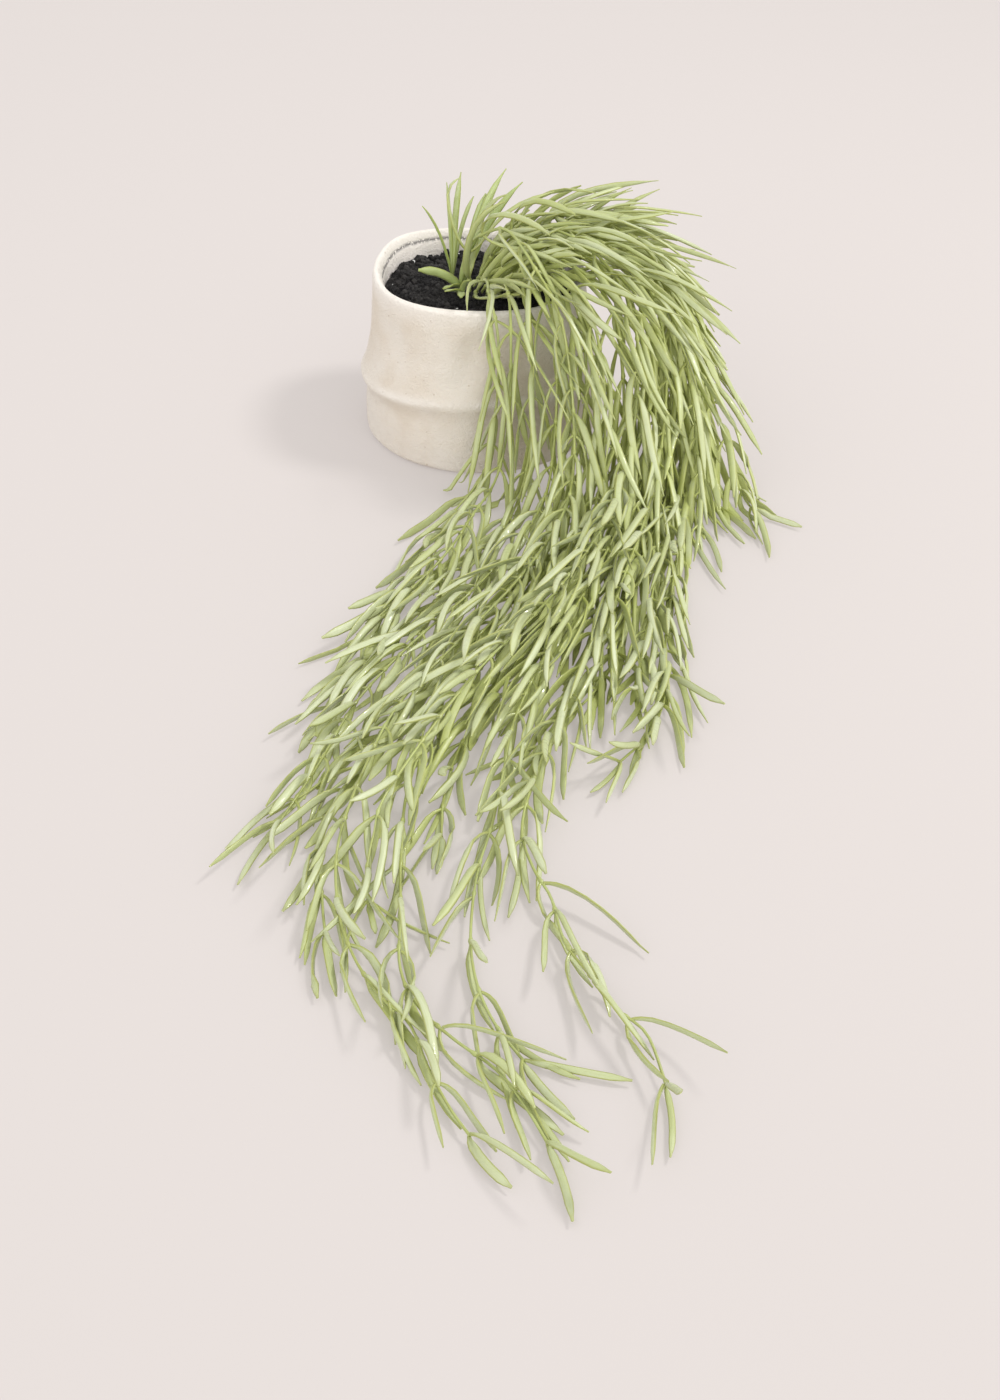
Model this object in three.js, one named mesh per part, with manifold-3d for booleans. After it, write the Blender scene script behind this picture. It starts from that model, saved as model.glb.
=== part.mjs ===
// Potted trailing plant: a hand-formed pot of coarse soil with leafy stems that arch over the lip to
// the front and right and lie along the surface. Millimetres, +Z up, origin at the middle of the
// pot's flat base, the stems trail towards -Y.
import * as THREE from "three";
import { mergeVertices } from "three/addons/utils/BufferGeometryUtils.js";
import Module from "manifold-3d";

const wasm = await Module();
wasm.setup();
const { Manifold, Mesh: SolidMesh } = wasm;

// ---- pot ----
const POT_HEIGHT = 81.5;
const LIP_RADIUS = 50.3; // middle of the rounded lip
const RIDGE_HEIGHT = 32.5;
const RIDGE_SWELL = 2.2;
const POT_SIDES = 36;
const CLEARANCE = 0.3; // between the soil and the pot

// ---- soil ----
const SOIL_TOP = 69;
const SOIL_FLOOR = 7;
const SOIL_SIDES = 24;
const HOLE_RADIUS = 2.0;
const HOLE_FLOOR = 57;

// ---- stems ----
const STEM_FOOT = 58; // every stem starts this high, inside its hole in the soil
const STEM_RADIUS = 1.05;
const STEM_END_RADIUS = 0.75;
const STEM_SIDES = 4;

// ---- leaves ----
const FIRST_NODE = 20; // the first pair of leaves, from the foot of the stem
const NODE_STEP = 17; // spacing of the pairs over the lip
const NODE_CLOSE = 10; // along the surface
const NODE_END = 19; // and on the longest stems' ends
const LEAF_SHORT = 38;
const LEAF_EXTRA = 34; // added near the pot
const LEAF_WIDTH = 3.4;
const OPEN_SIDE = new THREE.Vector3(0.1, -0.72, 0.69); // the side that the leaves turn their faces to
const KEEL = 1.15; // depth of the midrib, the thickness of a blade
const SPINE_STEPS = 20;
const LONG_LEAF = 56; // a longer leaf gets one section more
const LONG_SECTIONS = [[5, 0.95], [14, 1]]; // step of the spine and share of the width
const SHORT_SECTIONS = [[8, 1.05]];
const SEAT_WIDTH = 0.31; // half the width of a leaf's seat on its stem, as a share of the radius
const SEAT_LENGTH = 0.8;
const THINNED = 0.12; // share of the blades left out
const GAP = 0.35; // kept between the blades of different stems
const FLOOR_CLEAR = 2.2;

// Routes of the stems over the lip and along the surface: x, y, z of points along each stem, after
// its foot. The first number pair is the place of the foot in the soil.
const STEMS = [
  {
    foot: [-3, -9],
    route: [
      [3, -28, 89], [5, -48, 90], [9, -64, 76], [8, -70, 42], [2, -79, 13], [-12, -104, 6],
      [-24, -142, 5], [-37, -170, 4],
    ],
  },
  {
    foot: [3, -9],
    route: [
      [10, -30, 90], [14, -49, 90], [15, -66, 74], [14, -73, 38], [8, -86, 14], [-3, -116, 12],
      [-15, -150, 12], [-34, -182, 9], [-50, -206, 5],
    ],
  },
  {
    foot: [8, -9],
    route: [
      [17, -32, 91], [22, -50, 90], [25, -67, 70], [25, -76, 32], [19, -92, 7], [6, -128, 4],
      [-14, -166, 4], [-35, -204, 4], [-53, -232, 4], [-60, -251, 3],
    ],
  },
  {
    foot: [14, -9],
    route: [
      [25, -32, 93], [31, -48, 92], [36, -66, 74], [36, -80, 36], [31, -102, 13], [18, -138, 12],
      [-2, -178, 12], [-28, -218, 11], [-48, -254, 9], [-60, -290, 7], [-73, -322, 4],
    ],
  },
  {
    foot: [19, -8],
    route: [
      [35, -30, 94], [42, -44, 94], [49, -62, 78], [50, -80, 38], [43, -102, 7], [30, -142, 4],
      [10, -184, 4], [-14, -226, 4], [-36, -264, 4], [-50, -302, 4], [-56, -334, 4], [-53, -366, 4],
      [-51, -379, 3],
    ],
  },
  {
    foot: [-5, -3],
    route: [
      [-5, -5, 96], [4, -11, 106], [14, -22, 111], [25, -46, 105], [38, -70, 88], [44, -88, 50],
      [43, -108, 22], [34, -140, 18], [16, -182, 18], [-8, -226, 18], [-30, -264, 16],
      [-42, -304, 14], [-49, -340, 10], [-47, -370, 7], [-40, -393, 6], [-30, -410, 5],
      [-20, -422, 5], [-13, -441, 5], [-6, -456, 4], [1, -467, 3],
    ],
  },
  {
    foot: [1, -3],
    route: [
      [18, -22, 97], [38, -42, 98], [53, -66, 86], [59, -86, 48], [55, -108, 14], [43, -146, 11],
      [26, -188, 11], [4, -230, 11], [-16, -270, 11], [-25, -310, 10], [-26, -346, 8],
      [-25, -372, 6], [-24, -398, 6], [-17, -415, 5], [-5, -429, 5], [9, -442, 5], [18, -456, 4],
      [25, -470, 3],
    ],
  },
  {
    foot: [6, -3],
    route: [
      [26, -20, 98], [48, -38, 98], [64, -60, 84], [68, -82, 42], [63, -106, 7], [53, -146, 4],
      [38, -188, 4], [18, -230, 4], [-3, -268, 4], [-11, -303, 4], [-12, -329, 3],
    ],
  },
  {
    foot: [12, -3],
    route: [
      [34, -17, 98], [58, -33, 99], [76, -54, 87], [80, -78, 50], [74, -104, 20], [62, -142, 18],
      [47, -186, 18], [30, -228, 16], [16, -268, 12], [11, -300, 9], [7, -326, 7], [2, -348, 5],
      [0, -370, 5], [0, -390, 5], [3, -408, 5], [9, -423, 4], [18, -437, 3],
    ],
  },
  {
    foot: [17, -3],
    route: [
      [42, -12, 98], [66, -28, 97], [82, -50, 80], [83, -76, 40], [77, -104, 12], [68, -142, 11],
      [57, -186, 11], [44, -230, 10], [32, -270, 9], [22, -306, 9], [18, -330, 7], [22, -350, 7],
      [28, -364, 6], [32, -385, 6], [40, -401, 6], [49, -416, 5], [58, -427, 5], [63, -447, 3],
    ],
  },
  {
    foot: [-3, 3],
    route: [
      [16, -5, 103], [40, -19, 109], [64, -44, 98], [74, -72, 74], [70, -98, 34], [60, -134, 26],
      [44, -176, 25], [24, -216, 25], [-2, -256, 22], [-31, -318, 18], [-36, -338, 13],
      [-38, -353, 8], [-37, -365, 4],
    ],
  },
  {
    foot: [3, 3],
    route: [
      [28, -4, 103], [54, -14, 104], [78, -36, 94], [88, -62, 66], [85, -92, 28], [76, -130, 19],
      [65, -172, 18], [55, -210, 16], [51, -234, 12],
    ],
  },
  {
    foot: [8, 3],
    route: [
      [36, 2, 100], [62, -8, 100], [84, -28, 89], [92, -54, 54], [87, -88, 13], [78, -128, 5],
      [69, -172, 4], [60, -212, 4], [48, -242, 4], [34, -262, 4], [27, -276, 3],
    ],
  },
  {
    foot: [14, 3],
    route: [
      [44, 4, 98], [68, -2, 96], [88, -20, 82], [98, -46, 48], [96, -82, 12], [88, -122, 11],
      [79, -164, 11], [72, -206, 8], [65, -242, 6],
    ],
  },
  {
    foot: [19, 3],
    route: [
      [48, 8, 94], [72, 6, 92], [88, -12, 78], [98, -40, 48], [100, -74, 13], [95, -114, 4],
      [88, -156, 4], [81, -203, 4], [77, -245, 4], [69, -269, 4], [56, -286, 3],
    ],
  },
  {
    foot: [-1, 9],
    route: [
      [22, 8, 104], [50, 4, 107], [76, -9, 101], [92, -35, 84], [101, -66, 48], [104, -98, 16],
      [103, -115, 5],
    ],
  },
  {
    foot: [5, 9],
    route: [
      [32, 14, 101], [60, 12, 103], [80, -2, 93], [94, -24, 71], [103, -54, 38], [106, -78, 14],
      [110, -92, 5],
    ],
  },
  {
    foot: [10, 9],
    route: [
      [40, 17, 98], [66, 18, 98], [83, 6, 89], [98, -15, 67], [111, -46, 42], [121, -73, 20],
      [125, -89, 9], [130, -98, 4],
    ],
  },
  {
    foot: [16, 9],
    route: [
      [44, 15, 91], [66, 16, 90], [86, 8, 76], [99, -14, 46], [104, -42, 18], [97, -66, 5],
      [89, -88, 4], [82, -102, 4],
    ],
  },
];

// Young shoots: each has a foot in the soil and the tips and widths of its upright blades.
const SHOOTS = [
  {
    foot: [-14, 12],
    blades: [[-16, 14, 121, 2.0], [-9, 17, 125, 3.2], [-28, 9, 111, 1.5], [-3, 19, 112, 2.2]],
  },
  { foot: [-10, 1], blades: [[-30, -7, 85, 4.4], [-18, -9, 76, 3.2], [1, -3, 104, 3.2]] },
  { foot: [-8, 8], blades: [[13, 24, 124, 4.0], [21, 22, 118, 4.2], [3, 20, 113, 3.4]] },
  { foot: [-9, -7], blades: [[-9, -19, 76, 3.8], [-17, -14, 77, 3.4], [-5, -15, 83, 3.4]] },
];

// A repeatable value between 0 and 1 for leaf k of node j of stem i.
function draw(i, j, k) {
  const v = Math.sin(i * 127.1 + j * 311.7 + k * 74.7) * 43758.5453;
  return v - Math.floor(v);
}

const hump = (v, middle, width) => Math.exp(-(((v - middle) / width) ** 2));
const mix = (a, b, t) => a + (b - a) * t;
const smooth = (a, b, v) => {
  const t = Math.min(1, Math.max(0, (v - a) / (b - a)));
  return t * t * (3 - 2 * t);
};

// ---- the pot's uneven, hand-formed shape ----
const POT_WALL = [
  [59.2, 3.5], [59.3, 12], [59.0, 22], [58.9, 28], [58.6, 34], [57.9, 40], [56.9, 46], [55.3, 56],
  [54.1, 65], [53.3, 72], [53, 78], [50.3, POT_HEIGHT],
];

// Outer radius of the plain wall at a height.
function wallRadius(z) {
  if (z <= POT_WALL[0][1]) return POT_WALL[0][0];
  for (let i = 1; i < POT_WALL.length; i++) {
    const [r0, z0] = POT_WALL[i - 1];
    const [r1, z1] = POT_WALL[i];
    if (z <= z1) return mix(r0, r1, (z - z0) / (z1 - z0));
  }
  return LIP_RADIUS;
}

// Moves a point of the plain, round pot to the hand-formed one: the ridge rises and falls, the lip is
// pulled out at the back left, and the plan is slightly square.
function formed(x, y, z) {
  const r = Math.hypot(x, y);
  if (r < 1) return [x, y, z];
  const a = Math.atan2(y, x);
  const pulled = hump(a, 2.3, 0.55) * smooth(48, POT_HEIGHT, z);
  const square = 0.5 * Math.cos(4 * (a - 0.9)) * smooth(2, 20, z);
  const outer = smooth(30, 50, r);
  const wave = 4.4 * Math.cos(a + 1.4) + 1.1 * Math.cos(2 * (a + 1.4));
  const band = smooth(6, RIDGE_HEIGHT, z) * (1 - smooth(RIDGE_HEIGHT, 62, z));
  const grown = 1 + (outer * (4.4 * pulled + square)) / r;
  return [x * grown, y * grown, z + outer * (1.8 * pulled + wave * band)];
}

// How far the ridge swells the wall out at a height of the plain pot.
function swell(x, y, z) {
  const share = 0.72 - 0.34 * Math.cos(Math.atan2(y, x));
  return RIDGE_SWELL * share * hump(z, RIDGE_HEIGHT, 5.5);
}

// ---- from geometry to solids and meshes ----
function solidOf(geometry) {
  const plain = geometry.clone();
  plain.deleteAttribute("normal");
  plain.deleteAttribute("uv");
  const merged = mergeVertices(plain, 1e-4);
  return new Manifold(
    new SolidMesh({
      numProp: 3,
      vertProperties: new Float32Array(merged.attributes.position.array),
      triVerts: new Uint32Array(merged.index.array),
    }),
  );
}

function meshOf(name, solid, material) {
  const made = solid.getMesh();
  const geometry = new THREE.BufferGeometry();
  geometry.setAttribute("position", new THREE.BufferAttribute(made.vertProperties, 3));
  geometry.setIndex(new THREE.BufferAttribute(made.triVerts, 1));
  geometry.computeVertexNormals();
  const mesh = new THREE.Mesh(geometry, material);
  mesh.name = name;
  return mesh;
}

// A closed body through rings of equally many points, each ring wound counter-clockwise when the
// next ring is looked at from it; a single last point closes it to a tip.
function ringSolid(rings, tip) {
  const n = rings[0].length;
  const positions = rings.flat(2);
  const index = [];
  for (let i = 1; i < n - 1; i++) index.push(0, i + 1, i);
  for (let r = 0; r + 1 < rings.length; r++)
    for (let i = 0; i < n; i++) {
      const a = r * n + i;
      const b = r * n + ((i + 1) % n);
      index.push(a, b, b + n, a, b + n, a + n);
    }
  const last = (rings.length - 1) * n;
  if (tip) {
    positions.push(...tip);
    for (let i = 0; i < n; i++) index.push(last + i, last + ((i + 1) % n), rings.length * n);
  } else for (let i = 1; i < n - 1; i++) index.push(last, last + i, last + i + 1);
  const geometry = new THREE.BufferGeometry();
  geometry.setAttribute("position", new THREE.Float32BufferAttribute(positions, 3));
  geometry.setIndex(index);
  const solid = solidOf(geometry);
  if (solid.volume() >= 0) return solid;
  for (let i = 0; i < index.length; i += 3) [index[i], index[i + 1]] = [index[i + 1], index[i]];
  geometry.setIndex(index);
  return solidOf(geometry);
}

// Turned bodies, with the axis upright and every point passed through a shaping rule.
function turned(profile, sides, shape) {
  const points = profile.map(([r, z]) => new THREE.Vector2(r, z));
  const geometry = new THREE.LatheGeometry(points, sides).rotateX(Math.PI / 2);
  const place = geometry.attributes.position;
  for (let i = 0; i < place.count; i++)
    place.setXYZ(i, ...shape(place.getX(i), place.getY(i), place.getZ(i)));
  let solid = solidOf(geometry);
  if (solid.volume() < 0) {
    for (let i = 0; i < geometry.index.count; i += 3) {
      const first = geometry.index.getX(i);
      geometry.index.setX(i, geometry.index.getX(i + 1));
      geometry.index.setX(i + 1, first);
    }
    solid = solidOf(geometry);
  }
  return solid;
}

// ---- pot and soil ----
const POT_INSIDE = [[52.6, 12], [53.0, 34], [50.6, 52], [48.9, 64], [48.1, 72]];

const potOutside = [
  [0, 0], [56, 0], [58.3, 1.1], [59.2, 3.5], [59.3, 12], [59.0, 22], [58.9, 28], [58.7, 32.5],
  [58.3, 37], [56.9, 46], [55.3, 56], [54.1, 65], [53.3, 73], [53, 78.2], [52.2, 80.6],
  [LIP_RADIUS, POT_HEIGHT], [48.4, 80.7], [47.6, 78.6],
];
const potInside = [...POT_INSIDE].reverse();

function potPoint(x, y, z) {
  const r = Math.hypot(x, y);
  if (r > 55.5 && z > 4) {
    const s = swell(x, y, z) / r;
    x *= 1 + s;
    y *= 1 + s;
  }
  return formed(x, y, z);
}

const pot = turned([...potOutside, ...potInside, [49, 6.5], [0, 6.5]], POT_SIDES, potPoint);

function soilPoint(x, y, z) {
  const [fx, fy, fz] = formed(x, y, z);
  if (z < SOIL_TOP - 4) return [fx, fy, fz];
  const r = Math.hypot(x, y);
  const broad = 0.8 * Math.sin(0.31 * x + 1.7) * Math.cos(0.27 * y - 0.6);
  const lumps = broad + 0.5 * Math.sin(0.6 * y + 0.4 * x);
  return [fx, fy, z + lumps + 2.2 * (1 - (r / 48) ** 2)];
}

const soilWall = POT_INSIDE.slice(0, 4).map(([r, z]) => [r - CLEARANCE - 0.15, z]);
const soilTop = [47.6, 36, 24, 12].map((r) => [r, SOIL_TOP]);
const soilOutline = [[0, SOIL_FLOOR], [48.4, SOIL_FLOOR], ...soilWall, ...soilTop, [0, SOIL_TOP]];
let soil = turned(soilOutline, SOIL_SIDES, soilPoint);
const holes = [...STEMS, ...SHOOTS].map(({ foot: [x, y] }) => {
  const depth = SOIL_TOP + 8 - HOLE_FLOOR;
  const bore = new THREE.CylinderGeometry(HOLE_RADIUS, HOLE_RADIUS, depth, 6).rotateX(Math.PI / 2);
  return solidOf(bore.translate(x, y, HOLE_FLOOR + depth / 2));
});
soil = soil.subtract(Manifold.union(holes));

// ---- a point kept clear of the pot, the soil and the surface ----
function keepClear(p, margin) {
  const r = Math.hypot(p.x, p.y);
  if (r < 44) p.z = Math.max(p.z, SOIL_TOP + 2.2 * (1 - (r / 48) ** 2) + 2.2);
  else if (r < 56 && p.z > 60) {
    p.z = Math.max(p.z, POT_HEIGHT + margin);
    if (p.x < 0 && p.y > 0) p.z = Math.max(p.z, POT_HEIGHT + 2.5 + margin);
  } else {
    const least = wallRadius(p.z) + RIDGE_SWELL * 0.7 + margin;
    if (p.z < POT_HEIGHT && r < least) {
      p.x *= least / r;
      p.y *= least / r;
    }
  }
  p.z = Math.max(p.z, FLOOR_CLEAR);
  return p;
}

// ---- stems ----
const UP = new THREE.Vector3(0, 0, 1);

function stemCurve({ foot: [x, y], route }) {
  const points = [[x, y, STEM_FOOT], [x, y, 65], [x, y, 72], ...route];
  const places = points.map((p) => new THREE.Vector3(...p));
  const curve = new THREE.CatmullRomCurve3(places, false, "catmullrom", 0.5);
  curve.arcLengthDivisions = 400;
  return curve;
}

// Point and direction at a distance along a stem.
function along(curve, distance) {
  const t = curve.getUtoTmapping(0, distance);
  const point = curve.getPoint(t);
  const tangent = curve.getPoint(Math.min(1, t + 1e-4)).sub(curve.getPoint(Math.max(0, t - 1e-4)));
  return { point, tangent: tangent.normalize() };
}

// Distances along stem i of its foot's stops and of its pairs of leaves.
function stopsOf(i, length) {
  const stops = [0, 7, 14];
  for (let s = FIRST_NODE; s < length - 12; ) {
    stops.push(s);
    const step = mix(mix(NODE_STEP, NODE_CLOSE, smooth(110, 200, s)), NODE_END, smooth(350, 420, s));
    s += step * mix(0.75, 1.25, draw(i, stops.length, 3));
  }
  stops.push(length);
  return stops;
}

// The faces of a stem that bear a leaf at stop n: opposite pairs, each square to the one before it.
function facesOf(i, n, last) {
  const pair = n % 2 ? [0, 2] : [1, 3];
  const more = draw(i, n, 7);
  if (more < (last ? 0.5 : mix(0.15, 0.4, hump(n, 33, 8)))) return [...pair, (pair[0] + 1) % STEM_SIDES];
  return more < 0.93 ? pair : [pair[0]];
}

// The corners of a stem at each stop: a square that stands level where the stem lies along the
// surface, turned a little at each stop.
function rodRings(i, curve, stops) {
  let side = new THREE.Vector3(1, 0, 0);
  return stops.map((s, n) => {
    const { point, tangent } = along(curve, s);
    side = side.clone().addScaledVector(tangent, -side.dot(tangent)).normalize();
    const level = new THREE.Vector3().crossVectors(UP, tangent);
    if (level.dot(side) < 0) level.negate();
    side.addScaledVector(level, 0.8 * smooth(0.3, 0.9, level.length()));
    side.addScaledVector(tangent, -side.dot(tangent)).normalize();
    const over = new THREE.Vector3().crossVectors(tangent, side);
    const radius = mix(STEM_RADIUS, STEM_END_RADIUS, n / (stops.length - 1));
    const turn = Math.PI / 4 + (n < 3 ? 0 : mix(-0.45, 0.45, draw(i, n, 5)));
    const corners = [];
    for (let c = 0; c < STEM_SIDES; c++) {
      const a = turn + (2 * Math.PI * c) / STEM_SIDES;
      const q = point.clone().addScaledVector(side, radius * Math.cos(a));
      q.addScaledVector(over, radius * Math.sin(a));
      q.z = Math.max(0.2, q.z);
      corners.push(q);
    }
    corners.radius = radius;
    return corners;
  });
}

// The seat of a leaf: a small triangle on face c of the stem, just past stop n, or just before the
// last stop for the leaves that end the stem. Corners: keel, then one edge and the other.
function seatOf(rings, i, n, c) {
  const end = n === rings.length - 1;
  const ring = rings[n];
  const a = ring[c];
  const b = ring[(c + 1) % STEM_SIDES];
  const face = end ? [rings[n - 1][c], b, a] : [a, b, rings[n + 1][(c + 1) % STEM_SIDES]];
  const out = new THREE.Vector3()
    .crossVectors(face[1].clone().sub(face[0]), face[2].clone().sub(face[0]))
    .normalize();
  const across = b.clone().sub(a).normalize();
  const start = a.clone().lerp(b, 0.5);
  const on = end ? start.clone().sub(face[0]).normalize() : face[2].clone().sub(start).normalize();
  const from = end ? -SEAT_LENGTH - 0.6 : 0.6 + 1.2 * draw(i, n, c + 10);
  const at = (x, y) => start.clone().addScaledVector(across, x).addScaledVector(on, y);
  const half = SEAT_WIDTH * ring.radius;
  const corners = [at(0, from), at(half, from + SEAT_LENGTH), at(-half, from + SEAT_LENGTH)];
  const middle = at(0, from + SEAT_LENGTH / 2);
  const upright = new THREE.Vector3().crossVectors(out, across);
  const flat = [...face, ...corners].map((q) => {
    const v = q.clone().sub(a);
    return new THREE.Vector2(v.dot(across), v.dot(upright));
  });
  return { key: (end ? n - 1 : n) + ":" + c + ":" + (end ? 1 : 0), out, corners, middle, flat };
}

// The spine of the leaf on face k of stop n of stem i: points, directions and how each section turns.
function leafSpine(i, n, k, distance, length, T, seat) {
  const left = length - distance;
  const last = left < 1;
  const out = seat.out.clone().addScaledVector(T, -seat.out.dot(T)).normalize();
  const aside = new THREE.Vector3().crossVectors(T, out);
  const near = Math.exp(-distance / 120);
  const young = mix(0.78, 1, smooth(0, 90, left)); // smaller towards the stem's end
  const rooted = mix(0.7, 1, smooth(15, 60, distance)); // and at its foot
  const size = young * mix(0.74, 1.14, draw(i, n, k + 20)) * rooted;
  const reach = (LEAF_SHORT + LEAF_EXTRA * near + 5 * smooth(160, 220, distance)) * size;
  const fuller = mix(mix(0.92, 1.04, smooth(110, 220, distance)), 0.92, smooth(330, 420, distance));
  const wide = LEAF_WIDTH * fuller * mix(0.62, 1.12, draw(i, n, k + 30));
  const open = last ? 0.9 : 1.15;
  const lean = mix(0.02, 0.5, draw(i, n, k + 40) ** 2) + (last ? 0.22 : 0);
  const curl = 1.1 * (draw(i, n, k + 50) - 0.5);
  const bow = mix(-0.42, 0.36, draw(i, n, k + 90));
  const sweep = 0.8 * (1 - smooth(25, 55, distance));
  const forward = 0.35 * smooth(160, 220, distance) * (1 - smooth(330, 400, distance));
  const droop = mix(0.06, 0.85, near) * mix(0.5, 1.3, draw(i, n, k + 60)) * smooth(15, 90, distance);
  const twist = 1.1 * (draw(i, n, k + 70) - 0.5);
  const roll = 1.3 * (draw(i, n, k + 110) - 0.5);
  const facing = mix(0.2, 1.8, draw(i, n, k + 120));
  const p = seat.middle.clone();
  const spine = [];
  for (let m = 0; m <= SPINE_STEPS; m++) {
    const u = m / SPINE_STEPS;
    const a = lean + bow * u + (open - lean) * Math.exp(-u / 0.15);
    const d = T.clone().multiplyScalar(Math.cos(a));
    d.addScaledVector(out, Math.sin(a)).addScaledVector(aside, curl * u);
    d.x += sweep * u;
    d.y -= forward * u;
    d.z -= droop * u + 0.035 * Math.max(0, p.z - 99);
    d.normalize();
    if (m) keepClear(p.addScaledVector(d, reach / SPINE_STEPS), 2.2);
    const run = m ? p.clone().sub(spine[m - 1].p) : d.clone();
    if (run.length() < 1e-3) run.copy(d);
    run.normalize();
    const across = aside.clone().addScaledVector(run, -aside.dot(run)).normalize();
    const lit = new THREE.Vector3().crossVectors(run, OPEN_SIDE);
    if (lit.dot(across) < 0) lit.negate();
    across.addScaledVector(lit, facing * smooth(0, 0.3, u)).normalize();
    const back = new THREE.Vector3().crossVectors(across, run);
    const turn = roll * smooth(0, 0.35, u) + twist * u;
    across.multiplyScalar(Math.cos(turn)).addScaledVector(back, Math.sin(turn));
    const keel = new THREE.Vector3().crossVectors(across, run);
    p.z = Math.max(p.z, (wide / 2) * Math.abs(across.z) + KEEL * Math.max(0, -keel.z) + 0.35);
    spine.push({ p: p.clone(), run, across, keel });
  }
  return { spine, wide };
}

// One three-cornered section of a keeled blade, the keel first.
function section({ spine, wide }, step, share, grow = 0) {
  const { p, across, keel } = spine[step];
  const half = (wide / 2) * share + grow;
  return [
    p.clone().addScaledVector(keel, KEEL + grow),
    p.clone().addScaledVector(across, half).addScaledVector(keel, -grow),
    p.clone().addScaledVector(across, -half).addScaledVector(keel, -grow),
  ].map((c) => new THREE.Vector3(c.x, c.y, Math.max(0.2 - grow, c.z)));
}

const sectionsOf = ({ spine }) =>
  spine[0].p.distanceTo(spine[SPINE_STEPS].p) > LONG_LEAF ? LONG_SECTIONS : SHORT_SECTIONS;

function tipOf({ spine }, grow = 0) {
  const end = spine[SPINE_STEPS].p.clone().addScaledVector(spine[SPINE_STEPS].run, grow);
  end.z = Math.max(0.4 - grow, end.z);
  return end;
}

// A loose blade from a step of its spine on, to test what it would touch.
function blade(leaf, grow = 0, from = 1) {
  const rings = [[from, 0.5], ...sectionsOf(leaf)].map(([step, share]) => section(leaf, step, share, grow));
  return ringSolid(rings.map((ring) => ring.map((c) => c.toArray())), tipOf(leaf, grow).toArray());
}

// A stem with the blades that grow out of its faces, one closed body.
function leafyStem(rings, leaves) {
  const positions = [];
  const index = [];
  const add = (corners) => corners.map((c) => positions.push(...c.toArray()) / 3 - 1);
  const numbered = rings.map((ring) => add(ring));
  const seated = new Map(leaves.map((leaf) => [leaf.seat.key, leaf]));
  const n = STEM_SIDES;
  for (let c = 1; c < n - 1; c++) {
    const [first, end] = [numbered[0], numbered[rings.length - 1]];
    index.push(first[0], first[c + 1], first[c], end[0], end[c], end[c + 1]);
  }
  for (let r = 0; r + 1 < rings.length; r++)
    for (let c = 0; c < n; c++) {
      const [a, b] = [numbered[r][c], numbered[r][(c + 1) % n]];
      const [a2, b2] = [numbered[r + 1][c], numbered[r + 1][(c + 1) % n]];
      [[a, b, b2], [a, b2, a2]].forEach((face, which) => {
        const leaf = seated.get(r + ":" + c + ":" + which);
        if (!leaf) {
          index.push(...face);
          return;
        }
        let loop = add(leaf.seat.corners);
        const flat = leaf.seat.flat;
        const all = [...face, ...loop];
        for (const [u, v, w] of THREE.ShapeUtils.triangulateShape(flat.slice(0, 3), [flat.slice(3)])) {
          const round = THREE.ShapeUtils.area([flat[u], flat[v], flat[w]]) > 0;
          index.push(all[u], all[round ? v : w], all[round ? w : v]);
        }
        for (const [step, share] of sectionsOf(leaf)) {
          const next = add(section(leaf, step, share));
          for (let k = 0; k < 3; k++) {
            const q = (k + 1) % 3;
            index.push(loop[k], loop[q], next[q], loop[k], next[q], next[k]);
          }
          loop = next;
        }
        const [tip] = add([tipOf(leaf)]);
        for (let k = 0; k < 3; k++) index.push(loop[k], loop[(k + 1) % 3], tip);
      });
    }
  const geometry = new THREE.BufferGeometry();
  geometry.setAttribute("position", new THREE.Float32BufferAttribute(positions, 3));
  geometry.setIndex(index);
  return solidOf(geometry);
}

// A young blade bows up from its foot and over to its tip.
function shootSpine(i, foot, [x, y, z, wide], k) {
  const start = new THREE.Vector3(foot[0], foot[1], SOIL_TOP + 3.4);
  const tip = new THREE.Vector3(x, y, z);
  const rise = new THREE.Vector3(mix(start.x, x, 0.32), mix(start.y, y, 0.32), mix(start.z, z, 0.66) + 2);
  const curve = new THREE.QuadraticBezierCurve3(start, rise, tip);
  const turn = mix(-0.7, 0.7, draw(i, 7, k));
  const spine = [];
  for (let n = 0; n <= SPINE_STEPS; n++) {
    const u = n / SPINE_STEPS;
    const run = curve.getTangent(u);
    const level = new THREE.Vector3(Math.cos(turn), Math.sin(turn), 0);
    const across = level.addScaledVector(run, -level.dot(run)).normalize();
    spine.push({ p: curve.getPoint(u), run, across, keel: new THREE.Vector3().crossVectors(across, run) });
  }
  return { spine, wide };
}

// ---- building the leafy nodes ----
const touching = (a, b) => {
  const [p, q] = [a.boundingBox(), b.boundingBox()];
  for (let c = 0; c < 3; c++) if (p.min[c] > q.max[c] || q.min[c] > p.max[c]) return false;
  return !a.intersect(b).isEmpty();
};

const grown = STEMS.map((stem, i) => {
  const curve = stemCurve(stem);
  const length = curve.getLength();
  const stops = stopsOf(i, length);
  const rings = rodRings(i, curve, stops);
  return { i, curve, length, stops, rings, bare: leafyStem(rings, []), leaves: [], loose: [] };
});
const shoots = SHOOTS.map((shoot, i) => {
  const [x, y] = shoot.foot;
  const stub = new THREE.CylinderGeometry(1.3, 1.1, SOIL_TOP + 4 - STEM_FOOT, 5).rotateX(Math.PI / 2);
  const bare = solidOf(stub.translate(x, y, (SOIL_TOP + 4 + STEM_FOOT) / 2));
  return { shoot: i, bare, loose: shoot.blades.map((b, k) => blade(shootSpine(i, shoot.foot, b, k), 0, 0)) };
});
const others = [...grown, ...shoots];

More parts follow.
